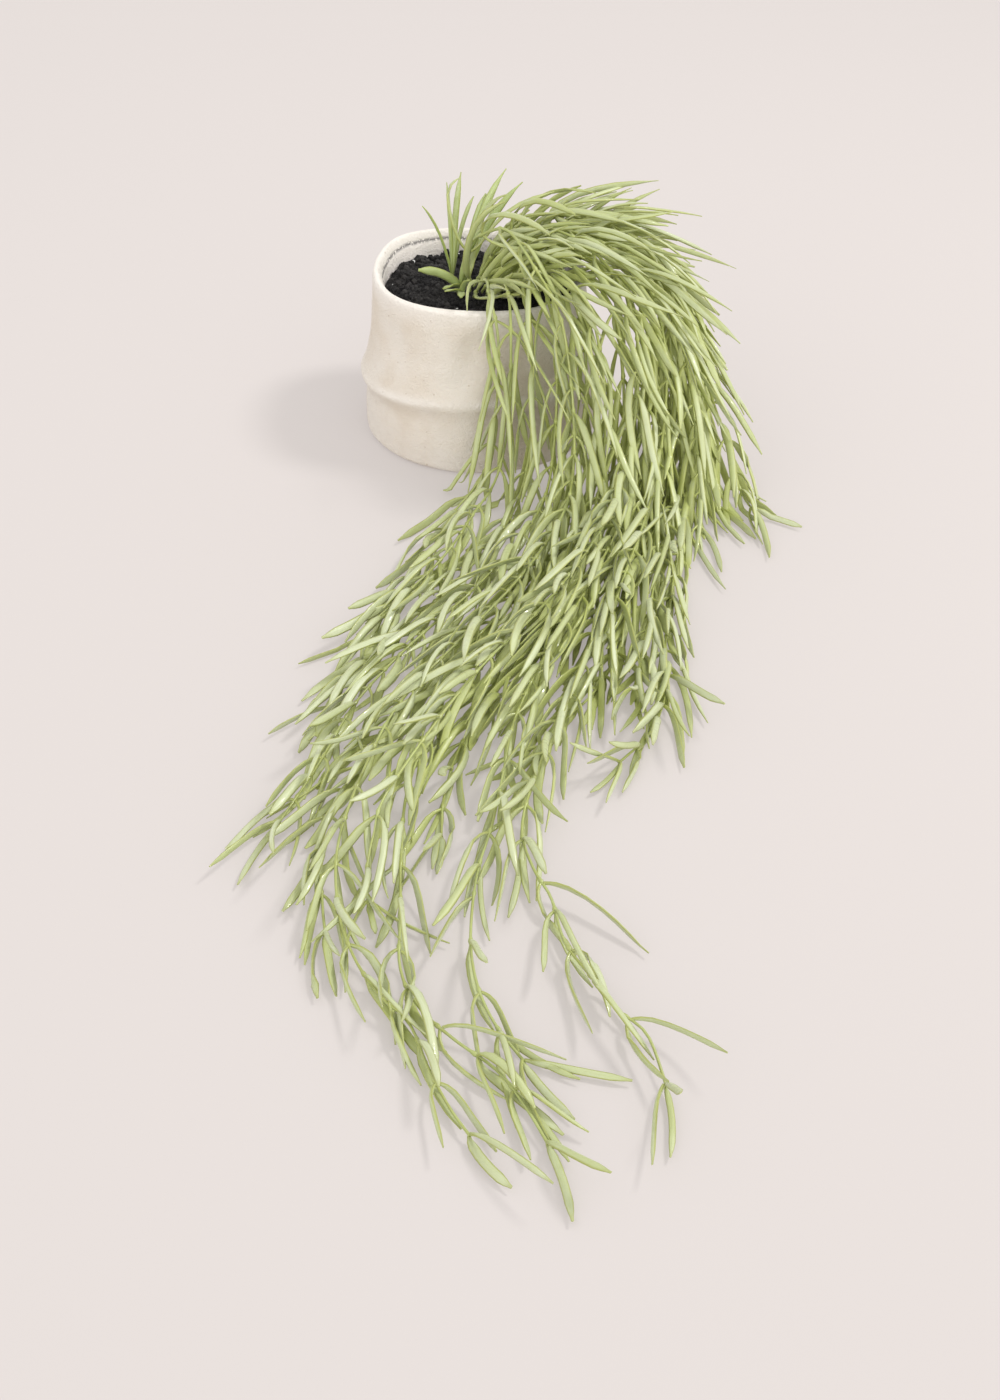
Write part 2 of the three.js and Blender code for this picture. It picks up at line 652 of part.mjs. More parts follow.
// A leaf is set where its rule puts it unless another piece is already there: pair by pair from
// the tips back to the pot, so that the ends of every stem are full.
function fits(owner, leaf) {
  const wide = blade(leaf, GAP);
  if (touching(wide, pot) || touching(wide, soil)) return false;
  if (touching(blade(leaf, 0.15, 3), owner.bare)) return false;
  if (owner.loose.some((b) => touching(wide, b))) return false;
  return !others.some(
    (other) => other !== owner && (touching(wide, other.bare) || other.loose.some((b) => touching(wide, b))),
  );
}

const mostStops = Math.max(...grown.map((l) => l.stops.length));
for (let back = 0; back < mostStops; back++)
  for (const owner of grown) {
    const n = owner.stops.length - 1 - back;
    if (n < 3) continue;
    const T = along(owner.curve, owner.stops[n]).tangent;
    for (const k of facesOf(owner.i, n, back === 0)) {
      const seat = seatOf(owner.rings, owner.i, n, k);
      const leaf = leafSpine(owner.i, n, k, owner.stops[n], owner.length, T, seat);
      if (draw(owner.i, n, k + 95) < THINNED || !fits(owner, leaf)) continue;
      owner.leaves.push({ ...leaf, seat });
      owner.loose.push(blade(leaf));
    }
  }

// ---- materials and the finished group ----
const paint = (colour, roughness) =>
  new THREE.MeshStandardMaterial({ color: colour, roughness, metalness: 0 });

const plant = new THREE.Group();
plant.name = "potted_trailing_plant";
plant.add(meshOf("pot", pot, paint(0xe9e0d2, 0.75)));
plant.add(meshOf("soil", soil, paint(0x232122, 0.95)));
grown.forEach(({ i, rings, leaves }) => {
  const green = [0xaebb86, 0xa5b47e, 0xb4c08e][i % 3];
  const name = "trailing_stem_" + String(i + 1).padStart(2, "0");
  plant.add(meshOf(name, leafyStem(rings, leaves), paint(green, 0.5)));
});
shoots.forEach(({ shoot, bare, loose }) => {
  plant.add(meshOf("young_shoot_" + (shoot + 1), Manifold.union([bare, ...loose]), paint(0xa9ba80, 0.5)));
});

export default plant;
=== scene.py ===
"""A hand-formed clay pot with a trailing, narrow-leaved plant that arches over its lip and lies along
the surface. Metres, +Z up, the stems trail towards -Y. Lengths in the tables are millimetres."""

import math

import bpy
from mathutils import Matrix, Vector, noise


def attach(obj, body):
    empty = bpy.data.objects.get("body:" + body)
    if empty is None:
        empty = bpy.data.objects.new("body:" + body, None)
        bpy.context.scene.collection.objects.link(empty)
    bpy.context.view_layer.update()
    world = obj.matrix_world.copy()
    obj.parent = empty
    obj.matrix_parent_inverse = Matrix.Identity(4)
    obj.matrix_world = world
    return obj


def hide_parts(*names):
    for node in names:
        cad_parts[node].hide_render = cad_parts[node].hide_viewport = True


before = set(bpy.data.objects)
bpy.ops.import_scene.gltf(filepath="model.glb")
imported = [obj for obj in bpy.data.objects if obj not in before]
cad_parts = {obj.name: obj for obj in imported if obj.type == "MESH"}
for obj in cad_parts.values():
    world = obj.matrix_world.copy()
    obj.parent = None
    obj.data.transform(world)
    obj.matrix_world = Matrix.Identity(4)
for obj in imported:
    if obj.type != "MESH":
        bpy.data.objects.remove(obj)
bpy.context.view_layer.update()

MM = 0.001
scene = bpy.context.scene

# ---- camera and light ----
CAMERA_PLACE = (0.0099, -0.8132, 0.440)
CAMERA_TILT = 52.43  # degrees up from looking straight down
CAMERA_LENS = 45
CAMERA_WIDTH = 36
STUDIO_WHITE = (0.308, 0.286, 0.277)
FLOOR_GLOW = (0.333, 0.310, 0.299)  # a lit sweep, so that shadows on it stay pale
FLOOR_HALF = 6
FLOOR_DROP = 0.0002  # how far the studio floor lies below the pot's base
FILL_COLOUR = (1.0, 0.985, 0.975)
FILL_HIGH = 0.85  # light from straight above
FILL_LOW = 1.45  # and from the horizon
FILL_FRONT = 0.95  # what the viewer's side adds
KEY_COLOUR = (1.0, 0.99, 0.975)
KEY_STRENGTH = 0.5
KEY_SIZE = 0.26
KEY_PLACE = (0.70, 0.0, 1.04)
KEY_AIM = (0.0, -0.16, 0.03)

# ---- pot ----
POT_HEIGHT = 81.5
RIDGE_HEIGHT = 32.5
RIDGE_SWELL = 2.2
POT_FLOOR = 6.5
POT_SIDES = 160
RINGS_PER_STEP = 4
# Radius and height, from the base up the outside, over the lip and down the inside.
POT_OUTSIDE = [
    (56, 0), (58.3, 1.1), (59.2, 3.5), (59.3, 12), (59.0, 22), (58.9, 28), (58.7, RIDGE_HEIGHT),
    (58.3, 37), (56.9, 46), (55.3, 56), (54.1, 65), (53.3, 73), (53, 78.2), (52.7, 80.5),
    (51.5, POT_HEIGHT), (50, 80.8), (48.4, 77.9), (47.8, 74), (48.9, 64), (50.6, 52), (53.0, 34),
    (52.6, 12), (49, POT_FLOOR),
]
# The outer wall that leaves are kept off.
POT_WALL = [
    (59.2, 3.5), (59.3, 12), (59.0, 22), (58.9, 28), (58.6, 34), (57.9, 40), (56.9, 46), (55.3, 56),
    (54.1, 65), (53.3, 72), (53, 78), (50.3, POT_HEIGHT),
]
LIP_STEP = 14  # the lip's crown in the outline above
LIP_PULL = 4.4  # how far the lip is pulled out at the back left
LIP_LIFT = 1.8  # and up
LIP_RISE = 2.5  # how much higher leaves stay there
LIP_INSIDE = 44  # leaves pass over the lip between these radii, where they are higher than LIP_LOW
LIP_OUTSIDE = 56
LIP_LOW = 60
RIDGE_WAVE = 4.4  # how far the ridge rises and sinks round the pot

# ---- soil ----
SOIL_TOP = 69
SOIL_RIM = 47.6
SOIL_SIDES = 144
SOIL_RINGS = 46
SOIL_REACH = 48
SOIL_DOME = 2.2  # how far the middle stands above the rim
SOIL_BASE = 7
# Radius and height down the side, against the pot's inside.
SOIL_WALL = [(48.2, 60), (49.8, 52), (52.3, 34), (52.0, 12), (48.4, SOIL_BASE)]
CRUMB_SIZE = 0.95
CRUMBS_PER_AREA = 520000  # on a square metre
PALE_CRUMBS = 0.006  # their share
CRUMB_SEED = 5

# ---- stems and leaves, by the same rule as the solids ----
STEM_FOOT = 58  # inside the soil
STEM_RADIUS = 1.05
STEM_END_RADIUS = 0.75
STEM_SIDES = 4  # of the rod that the leaves are seated on
FIRST_NODE = 20  # the first pair of leaves, from a stem's foot
NODE_STEP = 17  # spacing of the pairs over the lip
NODE_CLOSE = 10  # along the surface
NODE_END = 19  # and on the longest stems' ends
LEAF_SHORT = 38
LEAF_EXTRA = 34  # added near the pot
LEAF_WIDTH = 3.4
KEEL = 1.15  # depth of the midrib
LEAF_FLESH = 0.75  # half a blade's thickness
SHOOT_FLESH = 0.8
LEAF_FOLD = 0.4  # depth of the groove along it
SPINE_STEPS = 20
BLADE_SIDES = 8
ROUND_SIDES = 6  # of the finished stem, with the radii and the collars of its nodes
ROUND_RADIUS = 0.78
ROUND_END_RADIUS = 0.52
COLLAR_LENGTH = 1.1
COLLAR_SWELL = 0.75
SEAT_LENGTH = 0.8
KEEP_OFF = 2.2  # how far a leaf's middle line stays from the pot, the soil and the surface
OLD_TONE = 0.9  # how much deeper the green is at a stem's foot, and how much darker the painted shade its leaves take there
OLD_REACH = 90  # and over what length that fades
YOUNG_TOP = 73.4  # of a young shoot's short stalk
YOUNG_START = 3.4  # how high over the soil its leaves begin
YOUNG_RADIUS = 1.25
YOUNG_TAPER = 0.01
UP = Vector((0, 0, 1))
OPEN_SIDE = Vector((0.1, -0.72, 0.69))  # the side the leaves turn their faces to

# Each trailing stem's foot in the soil and the points it runs through.
STEMS = [
    [(-3, -9), (3, -28, 89), (5, -48, 90), (9, -64, 76), (8, -70, 42), (2, -79, 13), (-12, -104, 6),
     (-24, -142, 5), (-37, -170, 4)],
    [(3, -9), (10, -30, 90), (14, -49, 90), (15, -66, 74), (14, -73, 38), (8, -86, 14), (-3, -116, 12),
     (-15, -150, 12), (-34, -182, 9), (-50, -206, 5)],
    [(8, -9), (17, -32, 91), (22, -50, 90), (25, -67, 70), (25, -76, 32), (19, -92, 7), (6, -128, 4),
     (-14, -166, 4), (-35, -204, 4), (-53, -232, 4), (-60, -251, 3)],
    [(14, -9), (25, -32, 93), (31, -48, 92), (36, -66, 74), (36, -80, 36), (31, -102, 13),
     (18, -138, 12), (-2, -178, 12), (-28, -218, 11), (-48, -254, 9), (-60, -290, 7), (-73, -322, 4)],
    [(19, -8), (35, -30, 94), (42, -44, 94), (49, -62, 78), (50, -80, 38), (43, -102, 7), (30, -142, 4),
     (10, -184, 4), (-14, -226, 4), (-36, -264, 4), (-50, -302, 4), (-56, -334, 4), (-53, -366, 4),
     (-51, -379, 3)],
    [(-5, -3), (-5, -5, 96), (4, -11, 106), (14, -22, 111), (25, -46, 105), (38, -70, 88),
     (44, -88, 50), (43, -108, 22), (34, -140, 18), (16, -182, 18), (-8, -226, 18), (-30, -264, 16),
     (-42, -304, 14), (-49, -340, 10), (-47, -370, 7), (-40, -393, 6), (-30, -410, 5), (-20, -422, 5),
     (-13, -441, 5), (-6, -456, 4), (1, -467, 3)],
    [(1, -3), (18, -22, 97), (38, -42, 98), (53, -66, 86), (59, -86, 48), (55, -108, 14),
     (43, -146, 11), (26, -188, 11), (4, -230, 11), (-16, -270, 11), (-25, -310, 10), (-26, -346, 8),
     (-25, -372, 6), (-24, -398, 6), (-17, -415, 5), (-5, -429, 5), (9, -442, 5), (18, -456, 4),
     (25, -470, 3)],
    [(6, -3), (26, -20, 98), (48, -38, 98), (64, -60, 84), (68, -82, 42), (63, -106, 7), (53, -146, 4),
     (38, -188, 4), (18, -230, 4), (-3, -268, 4), (-11, -303, 4), (-12, -329, 3)],
    [(12, -3), (34, -17, 98), (58, -33, 99), (76, -54, 87), (80, -78, 50), (74, -104, 20),
     (62, -142, 18), (47, -186, 18), (30, -228, 16), (16, -268, 12), (11, -300, 9), (7, -326, 7),
     (2, -348, 5), (0, -370, 5), (0, -390, 5), (3, -408, 5), (9, -423, 4), (18, -437, 3)],
    [(17, -3), (42, -12, 98), (66, -28, 97), (82, -50, 80), (83, -76, 40), (77, -104, 12),
     (68, -142, 11), (57, -186, 11), (44, -230, 10), (32, -270, 9), (22, -306, 9), (18, -330, 7),
     (22, -350, 7), (28, -364, 6), (32, -385, 6), (40, -401, 6), (49, -416, 5), (58, -427, 5),
     (63, -447, 3)],
    [(-3, 3), (16, -5, 103), (40, -19, 109), (64, -44, 98), (74, -72, 74), (70, -98, 34),
     (60, -134, 26), (44, -176, 25), (24, -216, 25), (-2, -256, 22), (-31, -318, 18), (-36, -338, 13),
     (-38, -353, 8), (-37, -365, 4)],
    [(3, 3), (28, -4, 103), (54, -14, 104), (78, -36, 94), (88, -62, 66), (85, -92, 28), (76, -130, 19),
     (65, -172, 18), (55, -210, 16), (51, -234, 12)],
    [(8, 3), (36, 2, 100), (62, -8, 100), (84, -28, 89), (92, -54, 54), (87, -88, 13), (78, -128, 5),
     (69, -172, 4), (60, -212, 4), (48, -242, 4), (34, -262, 4), (27, -276, 3)],
    [(14, 3), (44, 4, 98), (68, -2, 96), (88, -20, 82), (98, -46, 48), (96, -82, 12), (88, -122, 11),
     (79, -164, 11), (72, -206, 8), (65, -242, 6)],
    [(19, 3), (48, 8, 94), (72, 6, 92), (88, -12, 78), (98, -40, 48), (100, -74, 13), (95, -114, 4),
     (88, -156, 4), (81, -203, 4), (77, -245, 4), (69, -269, 4), (56, -286, 3)],
    [(-1, 9), (22, 8, 104), (50, 4, 107), (76, -9, 101), (92, -35, 84), (101, -66, 48), (104, -98, 16),
     (103, -115, 5)],
    [(5, 9), (32, 14, 101), (60, 12, 103), (80, -2, 93), (94, -24, 71), (103, -54, 38), (106, -78, 14),
     (110, -92, 5)],
    [(10, 9), (40, 17, 98), (66, 18, 98), (83, 6, 89), (98, -15, 67), (111, -46, 42), (121, -73, 20),
     (125, -89, 9), (130, -98, 4)],
    [(16, 9), (44, 15, 91), (66, 16, 90), (86, 8, 76), (99, -14, 46), (104, -42, 18), (97, -66, 5),
     (89, -88, 4), (82, -102, 4)],
]

# Each young shoot's foot, and the tip and width of its leaves.
SHOOTS = [
    ((-14, 12), [(-16, 14, 121, 2.0), (-9, 17, 125, 3.2), (-28, 9, 111, 1.5), (-3, 19, 112, 2.2)]),
    ((-10, 1), [(-30, -7, 85, 4.4), (-18, -9, 76, 3.2), (1, -3, 104, 3.2)]),
    ((-8, 8), [(13, 24, 124, 4.0), (21, 22, 118, 4.2), (3, 20, 113, 3.4)]),
    ((-9, -7), [(-9, -19, 76, 3.8), (-17, -14, 77, 3.4), (-5, -15, 83, 3.4)]),
]

# ---- colours, in linear light ----
# The last colour of each set is painted shade for leaves deep inside the plant: the shade there, and the
# light that reaches them through other leaves, painted on as a darker, more saturated green.
TRAILING = {
    "Flesh": (0.47, 0.515, 0.32), "Edge": (0.29, 0.315, 0.05), "Deep": (0.32, 0.37, 0.10),
    "Foot": (0.29, 0.325, 0.065), "Inner": (0.39, 0.44, 0.09),
}
YOUNG = {
    "Flesh": (0.40, 0.47, 0.185), "Edge": (0.31, 0.36, 0.05), "Deep": (0.22, 0.30, 0.05),
    "Foot": (0.20, 0.26, 0.04), "Inner": (0.20, 0.28, 0.035),
}
CREAM = (0.655, 0.61, 0.545)
BUFF = (0.585, 0.518, 0.432)
SAND = (0.65, 0.57, 0.46)
# painted highlight: the paler band over the lip's crown, where the light catches it
PAINTED_LIP_HIGHLIGHT = (0.77, 0.735, 0.69)
# painted highlight: a paler, broken streak along the ridge's crest
PAINTED_RIDGE_HIGHLIGHT = (0.76, 0.73, 0.69)
PIT_BROWN = (0.42, 0.34, 0.25)
RAW_PALE = (0.93, 0.87, 0.82)
RAW_DARK = (0.82, 0.76, 0.71)
RAW_GRAIN = (0.90, 0.86, 0.82)
# painted shadow: the dark line under the lip's inner edge
PAINTED_LIP_SHADOW = (0.09, 0.085, 0.08)
SOIL_BLACK = (0.006, 0.0055, 0.0065)
SOIL_BROWN = (0.014, 0.013, 0.013)
CRUMB_BROWN = (0.055, 0.051, 0.050)
GRIT_GREY = (0.095, 0.088, 0.084)
SPECK_WHITE = (0.72, 0.72, 0.70)


# ---- small sums ----
def draw(i, j, k):
    """A number from 0 to 1, always the same for the same three whole numbers."""
    v = math.sin(i * 127.1 + j * 311.7 + k * 74.7) * 43758.5453
    return v - math.floor(v)


def mix(a, b, t):
    """From a to b by the share t."""
    return a + (b - a) * t


def smooth(a, b, v):
    """0 up to a, 1 from b on, and an even slope between."""
    t = min(1, max(0, (v - a) / (b - a)))
    return t * t * (3 - 2 * t)


def hump(v, middle, width):
    """1 at the middle, fading to nothing on both sides."""
    return math.exp(-(((v - middle) / width) ** 2))


def through(points, step, share):
    """A smooth curve's point, share of the way from one point of a list to the next."""
    p1, p2 = points[step], points[step + 1]
    p0 = points[step - 1] if step > 0 else [2 * a - b for a, b in zip(p1, p2)]
    p3 = points[step + 2] if step + 2 < len(points) else [2 * b - a for a, b in zip(p1, p2)]
    found = []
    for a, b, c, d in zip(p0, p1, p2, p3):
        t0, t1 = (c - a) / 2, (d - b) / 2
        bend, ease = 3 * (c - b) - 2 * t0 - t1, 2 * (b - c) + t0 + t1
        found.append(b + t0 * share + bend * share**2 + ease * share**3)
    return found


# ---- node trees ----
def put(tree, kind, wires=None, **settings):
    """A new node, with its settings, and its inputs set or wired."""
    node = tree.nodes.new(kind)
    for name, value in settings.items():
        setattr(node, name, value)
    for key, source in (wires or {}).items():
        if isinstance(source, bpy.types.NodeSocket):
            tree.links.new(source, node.inputs[key])
        else:
            node.inputs[key].default_value = source
    return node


def give(tree, node, **sources):
    """Wires sockets to a node's inputs, by their names."""
    for label, source in sources.items():
        tree.links.new(source, node.inputs[label.replace("_", " ")])


def sums(tree, operation, a, b=0.0, c=0.0):
    """One step of arithmetic on numbers or sockets."""
    return put(tree, "ShaderNodeMath", {0: a, 1: b, 2: c}, operation=operation).outputs[0]


def product(tree, first, *others):
    """Numbers multiplied in turn."""
    for other in others:
        first = sums(tree, "MULTIPLY", first, other)
    return first


def scaled(tree, vector, size):
    return put(tree, "ShaderNodeVectorMath", {0: vector, "Scale": size}, operation="SCALE").outputs[0]


def blended(tree, share, a, b):
    """Two colours mixed by a share."""
    a, b = (c if isinstance(c, bpy.types.NodeSocket) else (*c, 1) for c in (a, b))
    return put(tree, "ShaderNodeMix", {0: share, 6: a, 7: b}, data_type="RGBA").outputs[2]


def layered(tree, colour, *layers):
    """A colour with others laid over it in turn, each by its share."""
    for share, over in layers:
        colour = blended(tree, share, colour, over)
    return colour


def ranged(tree, value, low, high, to_low=0.0, to_high=1.0):
    """A value eased from one range to another, and held at its ends."""
    wires = {0: value, 1: low, 2: high, 3: to_low, 4: to_high}
    return put(tree, "ShaderNodeMapRange", wires, interpolation_type="SMOOTHSTEP").outputs[0]


def cloudy(tree, place, scale, detail, roughness=0.5):
    """A soft, cloudy value about a half."""
    wires = {"Vector": place, "Scale": scale, "Detail": detail, "Roughness": roughness}
    return put(tree, "ShaderNodeTexNoise", wires).outputs[0]


def worn(tree, name):
    """A shader tree's reading of a point attribute."""
    return put(tree, "ShaderNodeAttribute", attribute_name=name).outputs["Fac"]


def opened(name, kind, inputs, outputs):
    """A new node group with named inputs and outputs."""
    tree = bpy.data.node_groups.new(name, kind)
    for label, sort, value in inputs:
        socket = tree.interface.new_socket(name=label, in_out="INPUT", socket_type="NodeSocket" + sort)
        if value is not None:
            socket.default_value = value
    for label, sort in outputs:
        tree.interface.new_socket(name=label, in_out="OUTPUT", socket_type="NodeSocket" + sort)
    return tree, tree.nodes.new("NodeGroupInput"), tree.nodes.new("NodeGroupOutput")


def read(tree, name, sort="FLOAT"):
    """A geometry tree's reading of a point attribute."""
    return put(tree, "GeometryNodeInputNamedAttribute", {"Name": name}, data_type=sort).outputs["Attribute"]


def noted(tree, geometry, name, value):
    """The geometry with a value stored on its points under a name."""
    wires = {"Geometry": geometry, "Name": name, "Value": value}
    return put(tree, "GeometryNodeStoreNamedAttribute", wires, data_type="FLOAT", domain="POINT").outputs[0]


def chance(tree, seed):
    """A number from 0 to 1 for each point."""
    wires = {2: 0.0, 3: 1.0, "Seed": seed}
    return put(tree, "FunctionNodeRandomValue", wires, data_type="FLOAT").outputs[1]


def unit_ring(tree, sides):
    return put(tree, "GeometryNodeCurvePrimitiveCircle", {"Resolution": sides, "Radius": 1.0}).outputs[0]


def moved(tree, geometry, **place):
    """The geometry with its points put at a position, or moved by an offset."""
    wires = {"Geometry": geometry, **{label.capitalize(): value for label, value in place.items()}}
    return put(tree, "GeometryNodeSetPosition", wires).outputs[0]


def joined(tree, *parts):
    node = put(tree, "GeometryNodeJoinGeometry")
    for part in parts:
        tree.links.new(part, node.inputs[0])
    return node.outputs[0]


def end_with(tree, result, geometry, finish_used):
    """The tree's end: one real mesh that wears its finish."""
    real = put(tree, "GeometryNodeRealizeInstances", {"Geometry": geometry}).outputs[0]
    done = put(tree, "GeometryNodeSetMaterial", {"Geometry": real, "Material": finish_used})
    tree.links.new(done.outputs[0], result.inputs[0])


def leafy_growth_tree():
    """Leaves and stems from bare lines: a fleshy, grooved section is drawn along each leaf's line and a
    round one along each stem's."""
    tree, given, result = opened(
        "leafy_growth",
        "GeometryNodeTree",
        [
            ("Lines", "Geometry", None), ("Blade Sides", "Int", 8), ("Flesh", "Float", 0.0007),
            ("Fold", "Float", 0.0008), ("Stem Sides", "Int", 6), ("Finish", "Material", None),
        ],
        [("Growth", "Geometry")],
    )
    wires = {"Geometry": given.outputs["Lines"], "Selection": read(tree, "leaf")}
    parted = put(tree, "GeometryNodeSeparateGeometry", wires, domain="POINT")
    keel, half_width = read(tree, "keel", "FLOAT_VECTOR"), read(tree, "half_width")

    def drawn(line, section):
        """A section drawn along a line, as wide at each point as its half_width says."""
        along = {"Curve": line, "Profile Curve": section, "Scale": half_width, "Fill Caps": True}
        return put(tree, "GeometryNodeCurveToMesh", along).outputs[0]

    # a flat section first, which is then thickened to a fleshy one, grooved above and keeled below
    section = unit_ring(tree, given.outputs["Blade Sides"])
    split = put(tree, "ShaderNodeSeparateXYZ", {0: put(tree, "GeometryNodeInputPosition").outputs[0]})
    section = noted(tree, section, "across", split.outputs[0])
    section = noted(tree, section, "around", split.outputs[1])
    flat = put(tree, "ShaderNodeCombineXYZ", {1: split.outputs[0]}).outputs[0]
    section = moved(tree, section, position=flat)
    blade_line = put(tree, "GeometryNodeMeshToCurve", {0: parted.outputs[0]}).outputs[0]
    blade_line = put(tree, "GeometryNodeSetCurveNormal", {"Curve": blade_line, "Normal": keel}, mode="FREE")
    blades = drawn(blade_line.outputs[0], section)
    swelling = product(tree, read(tree, "around"), read(tree, "flesh"), given.outputs["Flesh"])
    off_edge = sums(tree, "SUBTRACT", 1.0, sums(tree, "ABSOLUTE", read(tree, "across")))
    sunk = product(tree, off_edge, read(tree, "fold"), given.outputs["Fold"])
    blades = moved(tree, blades, offset=scaled(tree, keel, sums(tree, "SUBTRACT", sunk, swelling)))
    stem_line = put(tree, "GeometryNodeMeshToCurve", {0: parted.outputs[1]}).outputs[0]
    stems = drawn(stem_line, unit_ring(tree, given.outputs["Stem Sides"]))
    wires = {"Geometry": joined(tree, blades, stems), "Shade Smooth": True}
    rounded = put(tree, "GeometryNodeSetShadeSmooth", wires).outputs[0]
    end_with(tree, result, rounded, given.outputs["Finish"])
    return tree


def crumbly_tree():
    """Irregular crumbs strewn over the soil's top, a few of them pale specks."""
    tree, given, result = opened(
        "crumbly_top",
        "GeometryNodeTree",
        [
            ("Soil", "Geometry", None), ("Crumb Size", "Float", 0.001),
            ("Crumbs Per Area", "Float", 400000.0), ("Pale Share", "Float", 0.006),
            ("Seed", "Int", 5), ("Finish", "Material", None),
        ],
        [("Soil", "Geometry")],
    )
    density = product(tree, given.outputs["Crumbs Per Area"], read(tree, "crumbly"))
    wires = {"Mesh": given.outputs["Soil"], "Seed": given.outputs["Seed"], "Density": density}
    spread = put(tree, "GeometryNodeDistributePointsOnFaces", wires).outputs[0]
    size = sums(tree, "MULTIPLY_ADD", sums(tree, "POWER", chance(tree, 11), 3.0), 1.5, 0.45)
    whole_turn = (6.28, 6.28, 6.28)
    wires = {0: (0, 0, 0), 1: whole_turn, "Seed": 12}
    turned = put(tree, "FunctionNodeRandomValue", wires, data_type="FLOAT_VECTOR").outputs[0]
    is_pale = sums(tree, "LESS_THAN", chance(tree, 13), given.outputs["Pale Share"])
    places = noted(tree, spread, "pale", is_pale)
    places = noted(tree, places, "tone", chance(tree, 14))
    wires = {"Radius": given.outputs["Crumb Size"], "Subdivisions": 1}
    lump = put(tree, "GeometryNodeMeshIcoSphere", wires).outputs[0]
    wires = {"Points": places, "Instance": lump, "Rotation": turned, "Scale": size}
    strewn = put(tree, "GeometryNodeInstanceOnPoints", wires).outputs[0]
    crumbs = put(tree, "GeometryNodeRealizeInstances", {"Geometry": strewn}).outputs[0]
    # each crumb's corners are pushed about, so that no two are alike
    wires = {"Vector": put(tree, "GeometryNodeInputPosition").outputs[0], "Scale": 900.0, "Detail": 1.0}
    rough = put(tree, "ShaderNodeTexNoise", wires).outputs["Color"]
    wires = {0: rough, 1: (0.5, 0.5, 0.5)}
    push = put(tree, "ShaderNodeVectorMath", wires, operation="SUBTRACT").outputs[0]
    broken = moved(tree, crumbs, offset=scaled(tree, push, 0.0016))
    end_with(tree, result, joined(tree, given.outputs["Soil"], broken), given.outputs["Finish"])
    return tree


def made_by(tree, name, mesh, **values):
    """A plain mesh object: the tree's result on a starting mesh, with its named inputs set."""
    start = bpy.data.objects.new(name, mesh)
    scene.collection.objects.link(start)
    grow = start.modifiers.new("growth", "NODES")
    grow.node_group = tree
    sockets = [item for item in tree.interface.items_tree if item.in_out == "INPUT"]
    names = {item.name.lower().replace(" ", "_"): item.identifier for item in sockets}
    for label, value in values.items():
        grow[names[label]] = value
    start.update_tag()
    graph = bpy.context.evaluated_depsgraph_get()
    found = start.evaluated_get(graph)
    plain = bpy.data.meshes.new_from_object(found, preserve_all_data_layers=True, depsgraph=graph)
    start.modifiers.remove(grow)
    start.data = plain
    plain.name = name
    return start


def mesh_of(name, points, faces=(), edges=(), **attributes):
    """A mesh from points in millimetres, with values noted on them."""
    mesh = bpy.data.meshes.new(name)
    mesh.from_pydata([Vector(p) * MM for p in points], edges, faces)
    for label, values in attributes.items():
        vector = hasattr(values[0], "__len__")
        layer = mesh.attributes.new(label, "FLOAT_VECTOR" if vector else "FLOAT", "POINT")
        if vector:
            layer.data.foreach_set("vector", [x for v in values for x in v])
        else:
            layer.data.foreach_set("value", values)
    mesh.update()
    return mesh


# ---- finishes ----
def blade_group():
    """The colour, sheen and fine ribs of a fleshy blade, from how far along and across it a point is, with
    painted shade on leaves deep inside the plant.
    """
    tree, given, result = opened(
        "blade_surface",
        "ShaderNodeTree",
        [
            ("Flesh", "Color", (0.4, 0.45, 0.2, 1)), ("Edge", "Color", (0.5, 0.5, 0.22, 1)),
            ("Deep", "Color", (0.25, 0.32, 0.12, 1)), ("Foot", "Color", (0.4, 0.42, 0.15, 1)),
            ("Inner", "Color", (0.3, 0.35, 0.05, 1)), ("Rib Depth", "Float", 1.0),
        ],
        [("Colour", "Color"), ("Roughness", "Float"), ("Gloss", "Float"), ("Height", "Float")],
    )
    flesh, edge, deep, foot, painted_shade_colour = (given.outputs[n] for n in ("Flesh", "Edge", "Deep", "Foot", "Inner"))
    along, across, tone = worn(tree, "along"), worn(tree, "across"), worn(tree, "tone")
    place = put(tree, "ShaderNodeTexCoord").outputs["Object"]
    cloud = cloudy(tree, place, 45.0, 3.0)
    lanes = {0: product(tree, across, 5.0), 1: product(tree, along, 3.0), 2: product(tree, tone, 40.0)}
    fibres = cloudy(tree, put(tree, "ShaderNodeCombineXYZ", lanes).outputs[0], 1.6, 3.0)
    specks = cloudy(tree, place, 420.0, 2.0)
    off_middle = sums(tree, "ABSOLUTE", across)
    blade = layered(
        tree, flesh,
        (ranged(tree, tone, 0.0, 1.7), deep),
        (ranged(tree, cloud, 0.4, 0.7, 0.0, 0.25), edge),
        (ranged(tree, fibres, 0.42, 0.66, 0.0, 0.30), deep),
        (ranged(tree, off_middle, 0.58, 0.92, 0.0, 0.95), edge),
        (ranged(tree, along, 0.14, 0.0, 0.0, 0.7), foot),
        (ranged(tree, along, 0.86, 1.0, 0.0, 0.55), edge),
    )
    stem = blended(tree, ranged(tree, cloud, 0.4, 0.6), foot, deep)
    # painted shade: leaves deep inside the plant turn to a darker, more saturated green, darker still for
    # the higher tones near a stem's foot
    shade = blended(tree, ranged(tree, tone, 0.9, 1.7, 0.0, 0.8), painted_shade_colour, foot)
    painted_shade_share = product(tree, worn(tree, "painted_shade_share"), 0.85)
    whole = layered(tree, stem, (worn(tree, "leaf"), blade), (painted_shade_share, shade))
    rough, gloss = ranged(tree, cloud, 0.3, 0.75, 0.42, 0.62), ranged(tree, specks, 0.52, 0.66, 0.0, 0.8)
    ribs = product(tree, fibres, given.outputs["Rib Depth"])
    give(tree, result, Colour=whole, Roughness=rough, Gloss=gloss, Height=ribs)
    return tree


